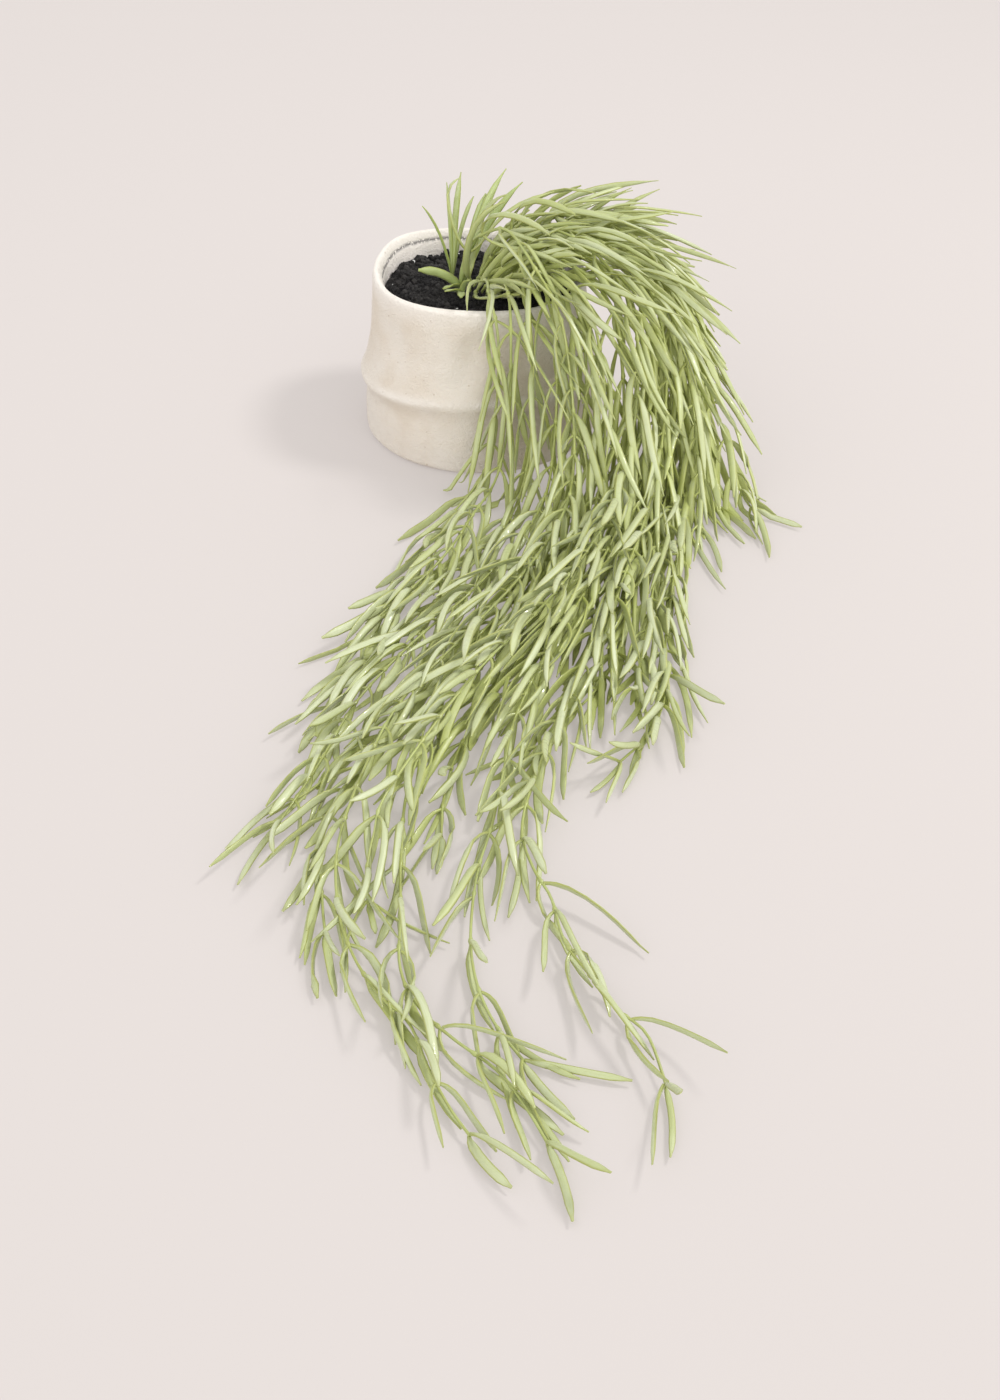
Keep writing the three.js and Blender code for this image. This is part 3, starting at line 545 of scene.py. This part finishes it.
def mottle_group():
    """Clouds, grain and small pits of a rough mineral surface."""
    tree, given, result = opened(
        "mineral_mottle",
        "ShaderNodeTree",
        [
            ("Cloud Scale", "Float", 25.0), ("Grain Scale", "Float", 900.0),
            ("Pit Scale", "Float", 160.0), ("Pit Size", "Float", 0.1),
        ],
        [("Cloud", "Float"), ("Grain", "Float"), ("Pits", "Float")],
    )
    place = put(tree, "ShaderNodeTexCoord").outputs["Object"]
    cell = put(tree, "ShaderNodeTexVoronoi", {"Vector": place, "Scale": given.outputs["Pit Scale"]})
    chosen = put(tree, "ShaderNodeSeparateColor", {0: cell.outputs["Color"]}).outputs[0]
    reach = product(tree, given.outputs["Pit Size"], chosen)
    near = sums(tree, "LESS_THAN", cell.outputs["Distance"], reach)
    pits = product(tree, near, sums(tree, "GREATER_THAN", chosen, 0.72))
    cloud = cloudy(tree, place, given.outputs["Cloud Scale"], 4.0, 0.6)
    grain = cloudy(tree, place, given.outputs["Grain Scale"], 3.0, 0.65)
    give(tree, result, Cloud=cloud, Grain=grain, Pits=pits)
    return tree


def finish(name, **values):
    """A new material, its node tree and its shader, with the inputs that are the same all over."""
    made = bpy.data.materials.new(name)
    made.use_nodes = True
    shader = made.node_tree.nodes["Principled BSDF"]
    for label, value in values.items():
        shader.inputs[label.replace("_", " ")].default_value = value
    return made, made.node_tree, shader


def grouped(tree, group, **values):
    """A shader group placed in a material with its own values."""
    node = put(tree, "ShaderNodeGroup", node_tree=group)
    for label, value in values.items():
        socket = node.inputs[label.replace("_", " ")]
        socket.default_value = (*value, 1) if hasattr(value, "__len__") else value
    return node


def bumped(tree, shader, height, strength, depth):
    """Fine relief on the shader's surface."""
    bumps = put(tree, "ShaderNodeBump", {"Height": height, "Strength": strength, "Distance": depth})
    give(tree, shader, Normal=bumps.outputs[0])


def foliage_finish(name, group, colours):
    made, tree, shader = finish(
        name, Coat_Roughness=0.12, IOR=1.7, Specular_IOR_Level=0.7, Sheen_Weight=0.2, Sheen_Roughness=0.4
    )
    blade = grouped(tree, group, **colours, Rib_Depth=1.0).outputs
    give(tree, shader, Base_Color=blade["Colour"], Roughness=blade["Roughness"], Coat_Weight=blade["Gloss"])
    bumped(tree, shader, blade["Height"], 0.35, 0.0004)
    return made


def clay_finish(group):
    made, tree, shader = finish("hand_formed_clay", Specular_IOR_Level=0.45)
    mottle = grouped(tree, group, Cloud_Scale=22.0, Grain_Scale=800.0, Pit_Scale=230.0, Pit_Size=0.12)
    cloud, grain, pits = (mottle.outputs[n] for n in ("Cloud", "Grain", "Pits"))
    below, crest = worn(tree, "below_lip"), worn(tree, "crest")
    wall = layered(
        tree, CREAM,
        (ranged(tree, cloud, 0.35, 0.68), BUFF),
        (ranged(tree, grain, 0.5, 0.75, 0.0, 0.35), SAND),
        # painted highlight over the lip's crown
        (ranged(tree, below, 12.0, 0.0, 0.0, 0.7), PAINTED_LIP_HIGHLIGHT),
        # painted highlight along the ridge's crest, broken up by the clouds
        (product(tree, crest, ranged(tree, cloud, 0.40, 0.58), 0.6), PAINTED_RIDGE_HIGHLIGHT),
        (product(tree, pits, 0.55), PIT_BROWN),
    )
    # bare clay inside, parted from the wall's finish under the lip, and a dark, wandering, broken line of
    # painted shadow just under the lip's inner edge
    wander = sums(tree, "MULTIPLY_ADD", cloud, 5.0, -2.5)
    lip_shadow_line = sums(tree, "ABSOLUTE", sums(tree, "ADD", sums(tree, "SUBTRACT", below, 5.2), wander))
    raw = layered(
        tree, RAW_PALE,
        (ranged(tree, cloud, 0.35, 0.65), RAW_DARK),
        (ranged(tree, grain, 0.42, 0.7, 0.0, 0.6), RAW_GRAIN),
        (product(tree, ranged(tree, lip_shadow_line, 2.0, 0.4), ranged(tree, grain, 0.36, 0.48), 0.85), PAINTED_LIP_SHADOW),
    )
    bare = product(tree, worn(tree, "inside"), ranged(tree, sums(tree, "ADD", below, wander), 4.2, 5.6))
    rough = ranged(tree, cloud, 0.3, 0.7, 0.50, 0.66)
    give(tree, shader, Base_Color=blended(tree, bare, wall, raw), Roughness=rough)
    relief = sums(tree, "MULTIPLY_ADD", cloud, 1.2, grain)
    bumped(tree, shader, sums(tree, "SUBTRACT", relief, product(tree, pits, 1.5)), 0.8, 0.001)
    return made


def soil_finish(group):
    made, tree, shader = finish("coarse_black_soil", Specular_IOR_Level=0.3)
    mottle = grouped(tree, group, Cloud_Scale=60.0, Grain_Scale=2200.0, Pit_Scale=700.0, Pit_Size=0.2)
    cloud, grain = mottle.outputs["Cloud"], mottle.outputs["Grain"]
    colour = layered(
        tree, SOIL_BLACK,
        (ranged(tree, cloud, 0.4, 0.62), SOIL_BROWN),
        (ranged(tree, worn(tree, "tone"), 0.55, 1.0, 0.0, 0.6), CRUMB_BROWN),
        (ranged(tree, grain, 0.5, 0.7, 0.0, 0.6), GRIT_GREY),
        (worn(tree, "pale"), SPECK_WHITE),
    )
    give(tree, shader, Base_Color=colour, Roughness=ranged(tree, grain, 0.3, 0.7, 0.72, 0.95))
    bumped(tree, shader, sums(tree, "MULTIPLY_ADD", cloud, 2.0, grain), 0.7, 0.0006)
    return made


# ---- pot ----
def wall_radius(z):
    """The outer wall's radius at a height."""
    if z <= POT_WALL[0][1]:
        return POT_WALL[0][0]
    for (r0, z0), (r1, z1) in zip(POT_WALL, POT_WALL[1:]):
        if z <= z1:
            return mix(r0, r1, (z - z0) / (z1 - z0))
    return POT_WALL[-1][0]


def formed(x, y, z):
    """From the plain round pot to the uneven one: a wandering ridge, a lip pulled out at the back left."""
    r = math.hypot(x, y)
    if r < 1:
        return x, y, z
    a = math.atan2(y, x)
    pulled = hump(a, 2.3, 0.55) * smooth(48, POT_HEIGHT, z)
    squared = 0.5 * math.cos(4 * (a - 0.9)) * smooth(2, 20, z)
    outer = smooth(30, 50, r)
    wave = RIDGE_WAVE * math.cos(a + 1.4) + 1.1 * math.cos(2 * (a + 1.4))
    band = smooth(6, RIDGE_HEIGHT, z) * (1 - smooth(RIDGE_HEIGHT, 62, z))
    wider = 1 + outer * (LIP_PULL * pulled + squared) / r
    return x * wider, y * wider, z + outer * (LIP_LIFT * pulled + wave * band)


def thumbed(a, z):
    """How far the maker's thumbs moved the outer wall in or out, at an angle and a height."""
    ridge = RIDGE_SWELL * (0.72 - 0.34 * math.cos(a)) * hump(z, RIDGE_HEIGHT, 5.5)
    crest = 0.55 * (0.6 - 0.4 * math.cos(a)) * hump(z, RIDGE_HEIGHT - 0.5, 2.2)
    under = -0.5 * hump(z, 24.5, 5) * (0.5 - 0.3 * math.cos(a))
    pinch = -1.3 * hump(a, -1.62 + 0.0045 * (z - 70), 0.11) * smooth(30, 50, z) * (1 - smooth(66, 77, z))
    push = 0.9 * hump(a, -1.36 + 0.004 * (z - 70), 0.13) * smooth(30, 48, z) * (1 - smooth(66, 78, z))
    hollow = -0.7 * hump(a, -2.35, 0.32) * hump(z, 58, 11)
    return ridge + crest + under + pinch + push + hollow


def ring_faces(rings, sides):
    """Faces over rings of points, closed on a first point and a last one."""
    faces = [(0, 1 + (k + 1) % sides, 1 + k) for k in range(sides)]
    for ring in range(rings - 1):
        for k in range(sides):
            a, b = 1 + ring * sides + k, 1 + ring * sides + (k + 1) % sides
            faces.append((a, b, b + sides, a + sides))
    last = 1 + (rings - 1) * sides
    return faces + [(last + k, last + (k + 1) % sides, last + sides) for k in range(sides)]


def make_pot(finish_used):
    far_below = 80.0
    points, inside, below, crest = [(0, 0, 0)], [0.0], [far_below], [0.0]
    outline, lip = [], LIP_STEP * RINGS_PER_STEP
    for step in range(len(POT_OUTSIDE) - 1):
        outline += [through(POT_OUTSIDE, step, k / RINGS_PER_STEP) for k in range(RINGS_PER_STEP)]
    outline.append(POT_OUTSIDE[-1])
    run = [0.0]
    for (r0, z0), (r1, z1) in zip(outline, outline[1:]):
        run.append(run[-1] + math.hypot(r1 - r0, z1 - z0))
    for ring, (r, z) in enumerate(outline):
        for side in range(POT_SIDES):
            a = 2 * math.pi * side / POT_SIDES
            outer = smooth(1.5, 8, z) if ring < lip else 0
            move = thumbed(a if a < math.pi else a - 2 * math.pi, z) * outer * (1 - smooth(77, 81, z))
            x, y = r * math.cos(a), r * math.sin(a)
            slow, quick = Vector((x, y, z * 1.3)) / 21, Vector((x, y, z)) / 8
            wander = noise.noise(slow) * 0.5 + noise.noise(quick) * 0.16
            if z < 0.01 or z < 7 and ring > lip:
                wander = 0
            front = hump(a - 2 * math.pi, -1.75, 0.75) * smooth(70, 79, z)
            inward = 2.6 * front * (0.25 if ring < lip else 1)
            swollen = 1 + (move - inward + wander * (1 if ring < lip else 0.7)) / r
            x, y, z2 = formed(x * swollen, y * swollen, z + 1.2 * front)
            points.append((x, y, z2 + (wander * 0.6 if z > 70 else 0)))
            inside.append(1.0 if ring > lip else 0.0)
            below.append(abs(run[ring] - run[lip]))
            # the ridge's crest, which carries a painted highlight
            crest.append(hump(z, RIDGE_HEIGHT + 1, 2.4) if ring < lip else 0.0)
    points.append((0, 0, POT_FLOOR))
    inside.append(1.0)
    below.append(far_below)
    crest.append(0.0)
    faces = ring_faces(len(outline), POT_SIDES)
    mesh = mesh_of("hand_formed_pot", points, faces, inside=inside, below_lip=below, crest=crest)
    mesh.shade_smooth()
    mesh.materials.append(finish_used)
    pot = bpy.data.objects.new("hand_formed_pot", mesh)
    scene.collection.objects.link(pot)
    return pot


# ---- soil ----
def dome(r):
    return SOIL_DOME * (1 - (r / SOIL_REACH) ** 2)


def soil_height(x, y):
    r = math.hypot(x, y)
    lumps = 0.8 * math.sin(0.31 * x + 1.7) * math.cos(0.27 * y - 0.6) + 0.5 * math.sin(0.6 * y + 0.4 * x)
    place = Vector((x, y, 0))
    clods = 2.0 * noise.noise(place / 5.5) + 1.5 * noise.noise(place / 2.4) + 0.7 * noise.noise(place / 1.1)
    heap = 3.4 * smooth(34, 45, r) * hump(math.atan2(y, x), 2.1, 0.9)  # against the pot's back left
    heap *= 0.6 + 1.2 * noise.noise(place / 3.2)
    return SOIL_TOP + lumps + dome(r) + clods + heap


def make_soil(tree, finish_used):
    points, crumbly = [(0, 0, soil_height(0, 0))], [1.0]
    for ring in range(1, SOIL_RINGS + 1):
        r = SOIL_RIM * ring / SOIL_RINGS
        for side in range(SOIL_SIDES):
            a = 2 * math.pi * side / SOIL_SIDES
            x, y = r * math.cos(a), r * math.sin(a)
            fx, fy, _ = formed(x, y, SOIL_TOP)
            points.append((fx, fy, soil_height(x, y)))
            crumbly.append(1.0 if ring < SOIL_RINGS - 1 else 0.0)
    for r, z in SOIL_WALL:
        for side in range(SOIL_SIDES):
            a = 2 * math.pi * side / SOIL_SIDES
            points.append(formed(r * math.cos(a), r * math.sin(a), z))
            crumbly.append(0.0)
    points.append((0, 0, SOIL_BASE))
    crumbly.append(0.0)
    # the first point is the top's middle here, so the faces are turned over
    faces = [(face[0], *face[:0:-1]) for face in ring_faces(SOIL_RINGS + len(SOIL_WALL), SOIL_SIDES)]
    mesh = mesh_of("potting_soil", points, faces, crumbly=crumbly)
    return made_by(
        tree, "potting_soil", mesh, crumb_size=CRUMB_SIZE * MM, crumbs_per_area=CRUMBS_PER_AREA,
        pale_share=PALE_CRUMBS, seed=CRUMB_SEED, finish=finish_used,
    )


def keep_clear(p):
    """Moves a point out of the pot, the soil and the surface."""
    r = math.hypot(p.x, p.y)
    if r < LIP_INSIDE:
        p.z = max(p.z, SOIL_TOP + dome(r) + KEEP_OFF)
    elif r < LIP_OUTSIDE and p.z > LIP_LOW:
        p.z = max(p.z, POT_HEIGHT + KEEP_OFF)
        if p.x < 0 and p.y > 0:
            p.z = max(p.z, POT_HEIGHT + LIP_RISE + KEEP_OFF)
    else:
        least = wall_radius(p.z) + RIDGE_SWELL * 0.7 + KEEP_OFF
        if p.z < POT_HEIGHT and r < least:
            p.x *= least / r
            p.y *= least / r
    p.z = max(p.z, KEEP_OFF)
    return p


# ---- stems and leaves ----
class Route:
    """A smooth line through a stem's points, walked by distance."""

    PARTS = 400

    def __init__(self, points):
        self.points = points
        self.far = [0.0]
        here = self.at(0)
        for k in range(1, self.PARTS + 1):
            there = self.at(k / self.PARTS)
            self.far.append(self.far[-1] + (there - here).length)
            here = there
        self.length = self.far[-1]

    def at(self, t):
        spans = len(self.points) - 1
        step = min(spans - 1, int(t * spans))
        return Vector(through(self.points, step, t * spans - step))

    def share(self, distance):
        low, high = 0, self.PARTS
        while high - low > 1:
            middle = (low + high) // 2
            low, high = (middle, high) if self.far[middle] <= distance else (low, middle)
        part = (distance - self.far[low]) / (self.far[high] - self.far[low])
        return (low + min(1, part)) / self.PARTS

    def walk(self, distance):
        t = self.share(distance)
        tangent = self.at(min(1, t + 1e-4)) - self.at(max(0, t - 1e-4))
        return self.at(t), tangent.normalized()


def stops_of(i, length):
    """Distances along a stem: its foot, its way up through the soil, its nodes and its end."""
    stops, s = [0, 7, 14], FIRST_NODE
    while s < length - 12:
        stops.append(s)
        step = mix(mix(NODE_STEP, NODE_CLOSE, smooth(110, 200, s)), NODE_END, smooth(350, 420, s))
        s += step * mix(0.75, 1.25, draw(i, len(stops), 3))
    return stops + [length]


def square(v, direction):
    """v made square to a direction."""
    return (v - direction * v.dot(direction)).normalized()


def rod_rings(i, route, stops):
    """The corners of the rod that the leaves are seated on, a ring at each stop."""
    side, rings = Vector((1, 0, 0)), []
    for n, s in enumerate(stops):
        point, tangent = route.walk(s)
        side = square(side, tangent)
        level = UP.cross(tangent)
        if level.dot(side) < 0:
            level.negate()
        side = square(side + level * (0.8 * smooth(0.3, 0.9, level.length)), tangent)
        over = tangent.cross(side)
        radius = mix(STEM_RADIUS, STEM_END_RADIUS, n / (len(stops) - 1))
        turn = math.pi / 4 + (0 if n < 3 else mix(-0.45, 0.45, draw(i, n, 5)))
        corners = []
        for c in range(STEM_SIDES):
            a = turn + 2 * math.pi * c / STEM_SIDES
            q = point + side * (radius * math.cos(a)) + over * (radius * math.sin(a))
            q.z = max(0.2, q.z)
            corners.append(q)
        rings.append(corners)
    return rings


def seat_of(rings, i, n, c):
    """Where a leaf leaves its stem, and which way it faces."""
    end = n == len(rings) - 1
    a, b = rings[n][c], rings[n][(c + 1) % STEM_SIDES]
    face = [rings[n - 1][c], b, a] if end else [a, b, rings[n + 1][(c + 1) % STEM_SIDES]]
    out = (face[1] - face[0]).cross(face[2] - face[0]).normalized()
    start = a.lerp(b, 0.5)
    on = (start - face[0]).normalized() if end else (face[2] - start).normalized()
    offset = -SEAT_LENGTH - 0.6 if end else 0.6 + 1.2 * draw(i, n, c + 10)
    return out, start + on * (offset + SEAT_LENGTH / 2)


def leaf_spine(i, n, k, distance, length, tangent, seat):
    """A leaf's middle line, with the way its keel points, and its width. It swings out from its stem,
    bows, droops, keeps off what is under it and turns its face more or less to the open side."""
    out, start = seat
    left = length - distance
    last = left < 1
    out = square(out, tangent)
    aside = tangent.cross(out)
    near = math.exp(-distance / 120)
    young = mix(0.78, 1, smooth(0, 90, left))  # smaller towards the stem's end
    rooted = mix(0.7, 1, smooth(15, 60, distance))  # and at its foot
    size = young * mix(0.74, 1.14, draw(i, n, k + 20)) * rooted
    reach = (LEAF_SHORT + LEAF_EXTRA * near + 5 * smooth(160, 220, distance)) * size
    fuller = mix(mix(0.92, 1.04, smooth(110, 220, distance)), 0.92, smooth(330, 420, distance))
    wide = LEAF_WIDTH * fuller * mix(0.62, 1.12, draw(i, n, k + 30))
    wide_open = 0.9 if last else 1.15
    lean = mix(0.02, 0.5, draw(i, n, k + 40) ** 2) + (0.22 if last else 0)
    curl = 1.1 * (draw(i, n, k + 50) - 0.5)
    bow = mix(-0.42, 0.36, draw(i, n, k + 90))
    sweep = 0.8 * (1 - smooth(25, 55, distance))
    forward = 0.35 * smooth(160, 220, distance) * (1 - smooth(330, 400, distance))
    droop = mix(0.06, 0.85, near) * mix(0.5, 1.3, draw(i, n, k + 60)) * smooth(15, 90, distance)
    twist = 1.1 * (draw(i, n, k + 70) - 0.5)
    roll = 1.3 * (draw(i, n, k + 110) - 0.5)
    facing = mix(0.2, 1.8, draw(i, n, k + 120))
    p, spine = start.copy(), []
    for m in range(SPINE_STEPS + 1):
        u = m / SPINE_STEPS
        a = lean + bow * u + (wide_open - lean) * math.exp(-u / 0.15)
        d = tangent * math.cos(a) + out * math.sin(a) + aside * (curl * u)
        d.x += sweep * u
        d.y -= forward * u
        d.z -= droop * u + 0.035 * max(0, p.z - 99)
        d.normalize()
        before = p.copy()
        if m:
            p = keep_clear(p + d * (reach / SPINE_STEPS))
        run = p - before if m else d.copy()
        run = d.copy() if run.length < 1e-3 else run.normalized()
        across = square(aside, run)
        lit = run.cross(OPEN_SIDE)
        if lit.dot(across) < 0:
            lit.negate()
        across = (across + lit * (facing * smooth(0, 0.3, u))).normalized()
        back = across.cross(run)
        turn = roll * smooth(0, 0.35, u) + twist * u
        across = across * math.cos(turn) + back * math.sin(turn)
        keel = across.cross(run)
        p.z = max(p.z, wide / 2 * abs(across.z) + KEEL * max(0, -keel.z) + 0.35)
        spine.append((p.copy(), keel))
    return spine, wide


def shoot_spine(i, foot, tip, k):
    """A young leaf's middle line, curving up from the soil to its tip, and its width."""
    x, y, z, wide = tip
    start, end = Vector((*foot, SOIL_TOP + YOUNG_START)), Vector((x, y, z))
    rise = Vector((mix(start.x, x, 0.32), mix(start.y, y, 0.32), mix(start.z, z, 0.66) + 2))
    turn = mix(-0.7, 0.7, draw(i, 7, k))
    spine = []
    for m in range(SPINE_STEPS + 1):
        u = m / SPINE_STEPS
        p = start * (1 - u) ** 2 + rise * (2 * u * (1 - u)) + end * u**2
        run = ((rise - start) * (1 - u) + (end - rise) * u).normalized()
        across = square(Vector((math.cos(turn), math.sin(turn), 0)), run)
        spine.append((p, across.cross(run)))
    return spine, wide


def blade_share(u, reach):
    """How wide a blade is along its length: a thin foot, long even sides, and a point that is short
    and blunt on a short blade."""
    tapered = smooth(36, 60, reach)
    foot = mix(0.42, 1, smooth(0, 0.17, u))
    point = smooth(mix(0.78, 0.62, tapered), 1, u) ** 1.4
    return foot * mix(1, mix(0.32, 0.12, tapered), point)


class Shelter:
    """How deep inside the plant a point lies, which sets how much painted shade its leaf is given: a
    darker, deeper green standing in for the shade inside the plant.
    """

    CELL = 6
    NEAREST, FARTHEST = 2, 30  # how far past a point a leaf shelters it
    FULL = 26  # leaf points that make the deepest shelter

    def __init__(self, spines):
        self.columns, self.rows = {}, {}
        for spine in spines:
            for p, _ in spine[2::3]:
                self.columns.setdefault((p.x // self.CELL, p.y // self.CELL), []).append(p.z)
                self.rows.setdefault((p.x // self.CELL, p.z // self.CELL), []).append(-p.y)

    def beyond(self, cells, x, y, level):
        """How many leaf points lie past a level, near a place."""
        x, y = x // self.CELL, y // self.CELL
        around = [v for i in (-1, 0, 1) for j in (-1, 0, 1) for v in cells.get((x + i, y + j), ())]
        return sum(1 for v in around if level + self.NEAREST < v < level + self.FARTHEST)

    def over(self, p):
        """The lesser of what lies above and what lies in front."""
        above = self.beyond(self.columns, p.x, p.y, p.z)
        return smooth(1, self.FULL, min(above, self.beyond(self.rows, p.x, p.z, -p.y)))


class Lines:
    """Bare lines that the leaves and stems of one piece are grown on."""

    KEPT = (0, 1, 2, 4, 7, 10, 13, 16, 18, 19, 20)  # steps of a spine that a blade is drawn through
    NOTES = ("leaf", "half_width", "flesh", "fold", "along", "tone", "keel", "painted_shade_share")

    def __init__(self, shelter):
        self.points, self.edges, self.shelter = [], [], shelter
        self.notes = {name: [] for name in self.NOTES}

    def add(self, rows):
        first = len(self.points)
        for point, note in rows:
            self.points.append(point)
            # how much painted shade the point's leaf gets, from how deep inside the plant it lies
            self.notes["painted_shade_share"].append(self.shelter.over(point))
            for name, value in note.items():
                self.notes[name].append(value)
        self.edges += [(k, k + 1) for k in range(first, len(self.points) - 1)]

    def blade(self, spine, wide, tone):
        rows, reach = [], (spine[-1][0] - spine[0][0]).length
        for m in self.KEPT:
            p, keel = spine[m]
            u = m / SPINE_STEPS
            half = wide / 2 * blade_share(u, reach) * MM
            flesh = mix(0.9, 0.78, smooth(0.05, 0.25, u)) * mix(1, 0.42, smooth(0.7, 1, u))
            fold = smooth(0.05, 0.3, u) * mix(1, 0.2, smooth(0.75, 1, u))
            shape = {"half_width": half, "flesh": flesh, "fold": fold, "keel": tuple(keel)}
            rows.append((p, {"leaf": 1.0, "along": u, "tone": tone, **shape}))
        self.add(rows)

    def stem(self, walk, tone):
        """walk holds the points and radii."""
        rows = []
        for p, radius in walk:
            p = Vector((p.x, p.y, max(p.z, radius + 0.1)))
            shape = {"half_width": radius * MM, "flesh": 1.0, "fold": 0.0, "keel": (0.0, 0.0, 1.0)}
            rows.append((p, {"leaf": 0.0, "along": 0.5, "tone": tone, **shape}))
        self.add(rows)

    def grow(self, tree, name, flesh, finish_used):
        """The finished piece that these lines make."""
        mesh = mesh_of(name, self.points, edges=self.edges, **self.notes)
        return made_by(
            tree, name, mesh, blade_sides=BLADE_SIDES, stem_sides=ROUND_SIDES, flesh=flesh * MM,
            fold=LEAF_FOLD * MM, finish=finish_used,
        )


def stem_walk(route, stops):
    """Points along a stem, thickened into a knobbly collar at each node."""
    spacing, least = 4.2, 0.35
    even = {spacing * k for k in range(int(route.length / spacing))}
    collars = {s + d for s in stops[3:] for d in (-1.7, -0.7, 0.1, 0.9, 1.9)}
    places = sorted(s for s in collars | even if 0 <= s <= route.length)
    places = [s for k, s in enumerate(places) if k == 0 or s - places[k - 1] > least]
    walk = []
    for s in places:
        radius = mix(ROUND_RADIUS, ROUND_END_RADIUS, s / route.length)
        collar = max(hump(s, stop, COLLAR_LENGTH) for stop in stops[3:])
        walk.append((route.walk(s)[0], radius * (1 + COLLAR_SWELL * collar)))
    return walk


def faces_of(i, n, last):
    """Which faces of a stem bear a leaf at a node: opposite pairs, each square to the one before, with
    one more here and there or one missing."""
    pair = (0, 2) if n % 2 else (1, 3)
    more = draw(i, n, 7)
    if more < (0.5 if last else mix(0.15, 0.4, hump(n, 33, 8))):
        return (*pair, (pair[0] + 1) % 4)
    return pair if more < 0.93 else pair[:1]


def grown(i, points):
    """One trailing stem's walk and its leaves: spine, width and tone."""
    (x, y), *rest = points
    route = Route([(x, y, STEM_FOOT), (x, y, 65), (x, y, 72), *rest])
    stops = stops_of(i, route.length)
    rings = rod_rings(i, route, stops)
    leaves = []
    for n in range(3, len(stops)):
        tangent = route.walk(stops[n])[1]
        for k in faces_of(i, n, n == len(stops) - 1):
            leaf = leaf_spine(i, n, k, stops[n], route.length, tangent, seat_of(rings, i, n, k))
            leaves.append((*leaf, draw(i, n, k + 80) + OLD_TONE * math.exp(-stops[n] / OLD_REACH)))
    return stem_walk(route, stops), leaves


def make_stem(i, walk, leaves, shelter, tree, finish_used):
    lines = Lines(shelter)
    lines.stem(walk, draw(i, 3, 9))
    for spine, wide, tone in leaves:
        lines.blade(spine, wide, tone)
    return lines.grow(tree, "leafy_stem_%02d" % (i + 1), LEAF_FLESH, finish_used)


def make_shoot(i, foot, tips, shelter, tree, finish_used):
    lines = Lines(shelter)
    heights = (STEM_FOOT, 64, 70, YOUNG_TOP)
    lines.stem([(Vector((*foot, z)), YOUNG_RADIUS - YOUNG_TAPER * (z - STEM_FOOT)) for z in heights], 0.5)
    for k, tip in enumerate(tips):
        spine, wide = shoot_spine(i, foot, tip, k)
        lines.blade(spine, wide, draw(i, 9, k))
    return lines.grow(tree, "young_shoot_leaves_%d" % (i + 1), SHOOT_FLESH, finish_used)


# ---- the studio ----
def make_camera():
    data = bpy.data.cameras.new("camera")
    data.lens = CAMERA_LENS
    data.sensor_width = CAMERA_WIDTH
    data.clip_start = 0.01
    camera = bpy.data.objects.new("camera", data)
    camera.location = CAMERA_PLACE
    camera.rotation_euler = (math.radians(CAMERA_TILT), 0, 0)
    scene.collection.objects.link(camera)
    scene.camera = camera


def make_studio():
    scene.view_settings.view_transform = "Standard"
    make_fill()
    make_key()
    make_floor()


def make_fill():
    world = bpy.data.worlds.new("studio_fill")
    scene.world = world
    world.use_nodes = True
    tree = world.node_tree
    sky = tree.nodes["Background"]
    sky.inputs["Color"].default_value = (*FILL_COLOUR, 1)
    way = put(tree, "ShaderNodeSeparateXYZ", {0: put(tree, "ShaderNodeTexCoord").outputs["Generated"]})
    rising = ranged(tree, way.outputs[2], 0.0, 0.9, FILL_LOW, FILL_HIGH)
    front = ranged(tree, way.outputs[1], 0.1, -1.0, 0.0, FILL_FRONT)
    give(tree, sky, Strength=sums(tree, "ADD", rising, front))


def make_key():
    data = bpy.data.lights.new("key_light", "AREA")
    data.shape = "DISK"
    data.size = KEY_SIZE
    data.color = KEY_COLOUR
    data.use_nodes = True
    tree = data.node_tree
    even = put(tree, "ShaderNodeLightFalloff", {"Strength": KEY_STRENGTH})
    give(tree, tree.nodes["Emission"], Strength=even.outputs["Constant"])
    key = bpy.data.objects.new("key_light", data)
    key.location = KEY_PLACE
    key.rotation_euler = (Vector(KEY_PLACE) - Vector(KEY_AIM)).to_track_quat("Z", "Y").to_euler()
    scene.collection.objects.link(key)


def make_floor():
    made, _, _ = finish(
        "studio_floor", Base_Color=(*STUDIO_WHITE, 1), Emission_Color=(*FLOOR_GLOW, 1),
        Emission_Strength=1.0, Roughness=0.9, Specular_IOR_Level=0.1,
    )
    mesh = bpy.data.meshes.new("studio_floor")
    around = ((-1, -1), (1, -1), (1, 1), (-1, 1))
    corners = [(x * FLOOR_HALF, y * FLOOR_HALF, -FLOOR_DROP) for x, y in around]
    mesh.from_pydata(corners, [], [(0, 1, 2, 3)])
    mesh.materials.append(made)
    floor = bpy.data.objects.new("studio_floor", mesh)
    scene.collection.objects.link(floor)


def main():
    make_camera()
    make_studio()
    mottle, surface = mottle_group(), blade_group()
    growth = leafy_growth_tree()
    trailing = foliage_finish("trailing_foliage", surface, TRAILING)
    young = foliage_finish("young_foliage", surface, YOUNG)
    pieces = [
        (make_pot(clay_finish(mottle)), "pot", "pot"),
        (make_soil(crumbly_tree(), soil_finish(mottle)), "soil", "soil"),
    ]
    stems = [grown(i, points) for i, points in enumerate(STEMS)]
    shelter = Shelter([leaf[0] for walk, leaves in stems for leaf in leaves])
    for i, (walk, leaves) in enumerate(stems):
        stem = make_stem(i, walk, leaves, shelter, growth, trailing)
        pieces.append((stem, "foliage", "trailing_stem_%02d" % (i + 1)))
    for i, (foot, tips) in enumerate(SHOOTS):
        shoot = make_shoot(i, foot, tips, shelter, growth, young)
        pieces.append((shoot, "young_foliage", "young_shoot_%d" % (i + 1)))
    for piece, slot, node in pieces:
        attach(piece, "root")
        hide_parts(node)


main()
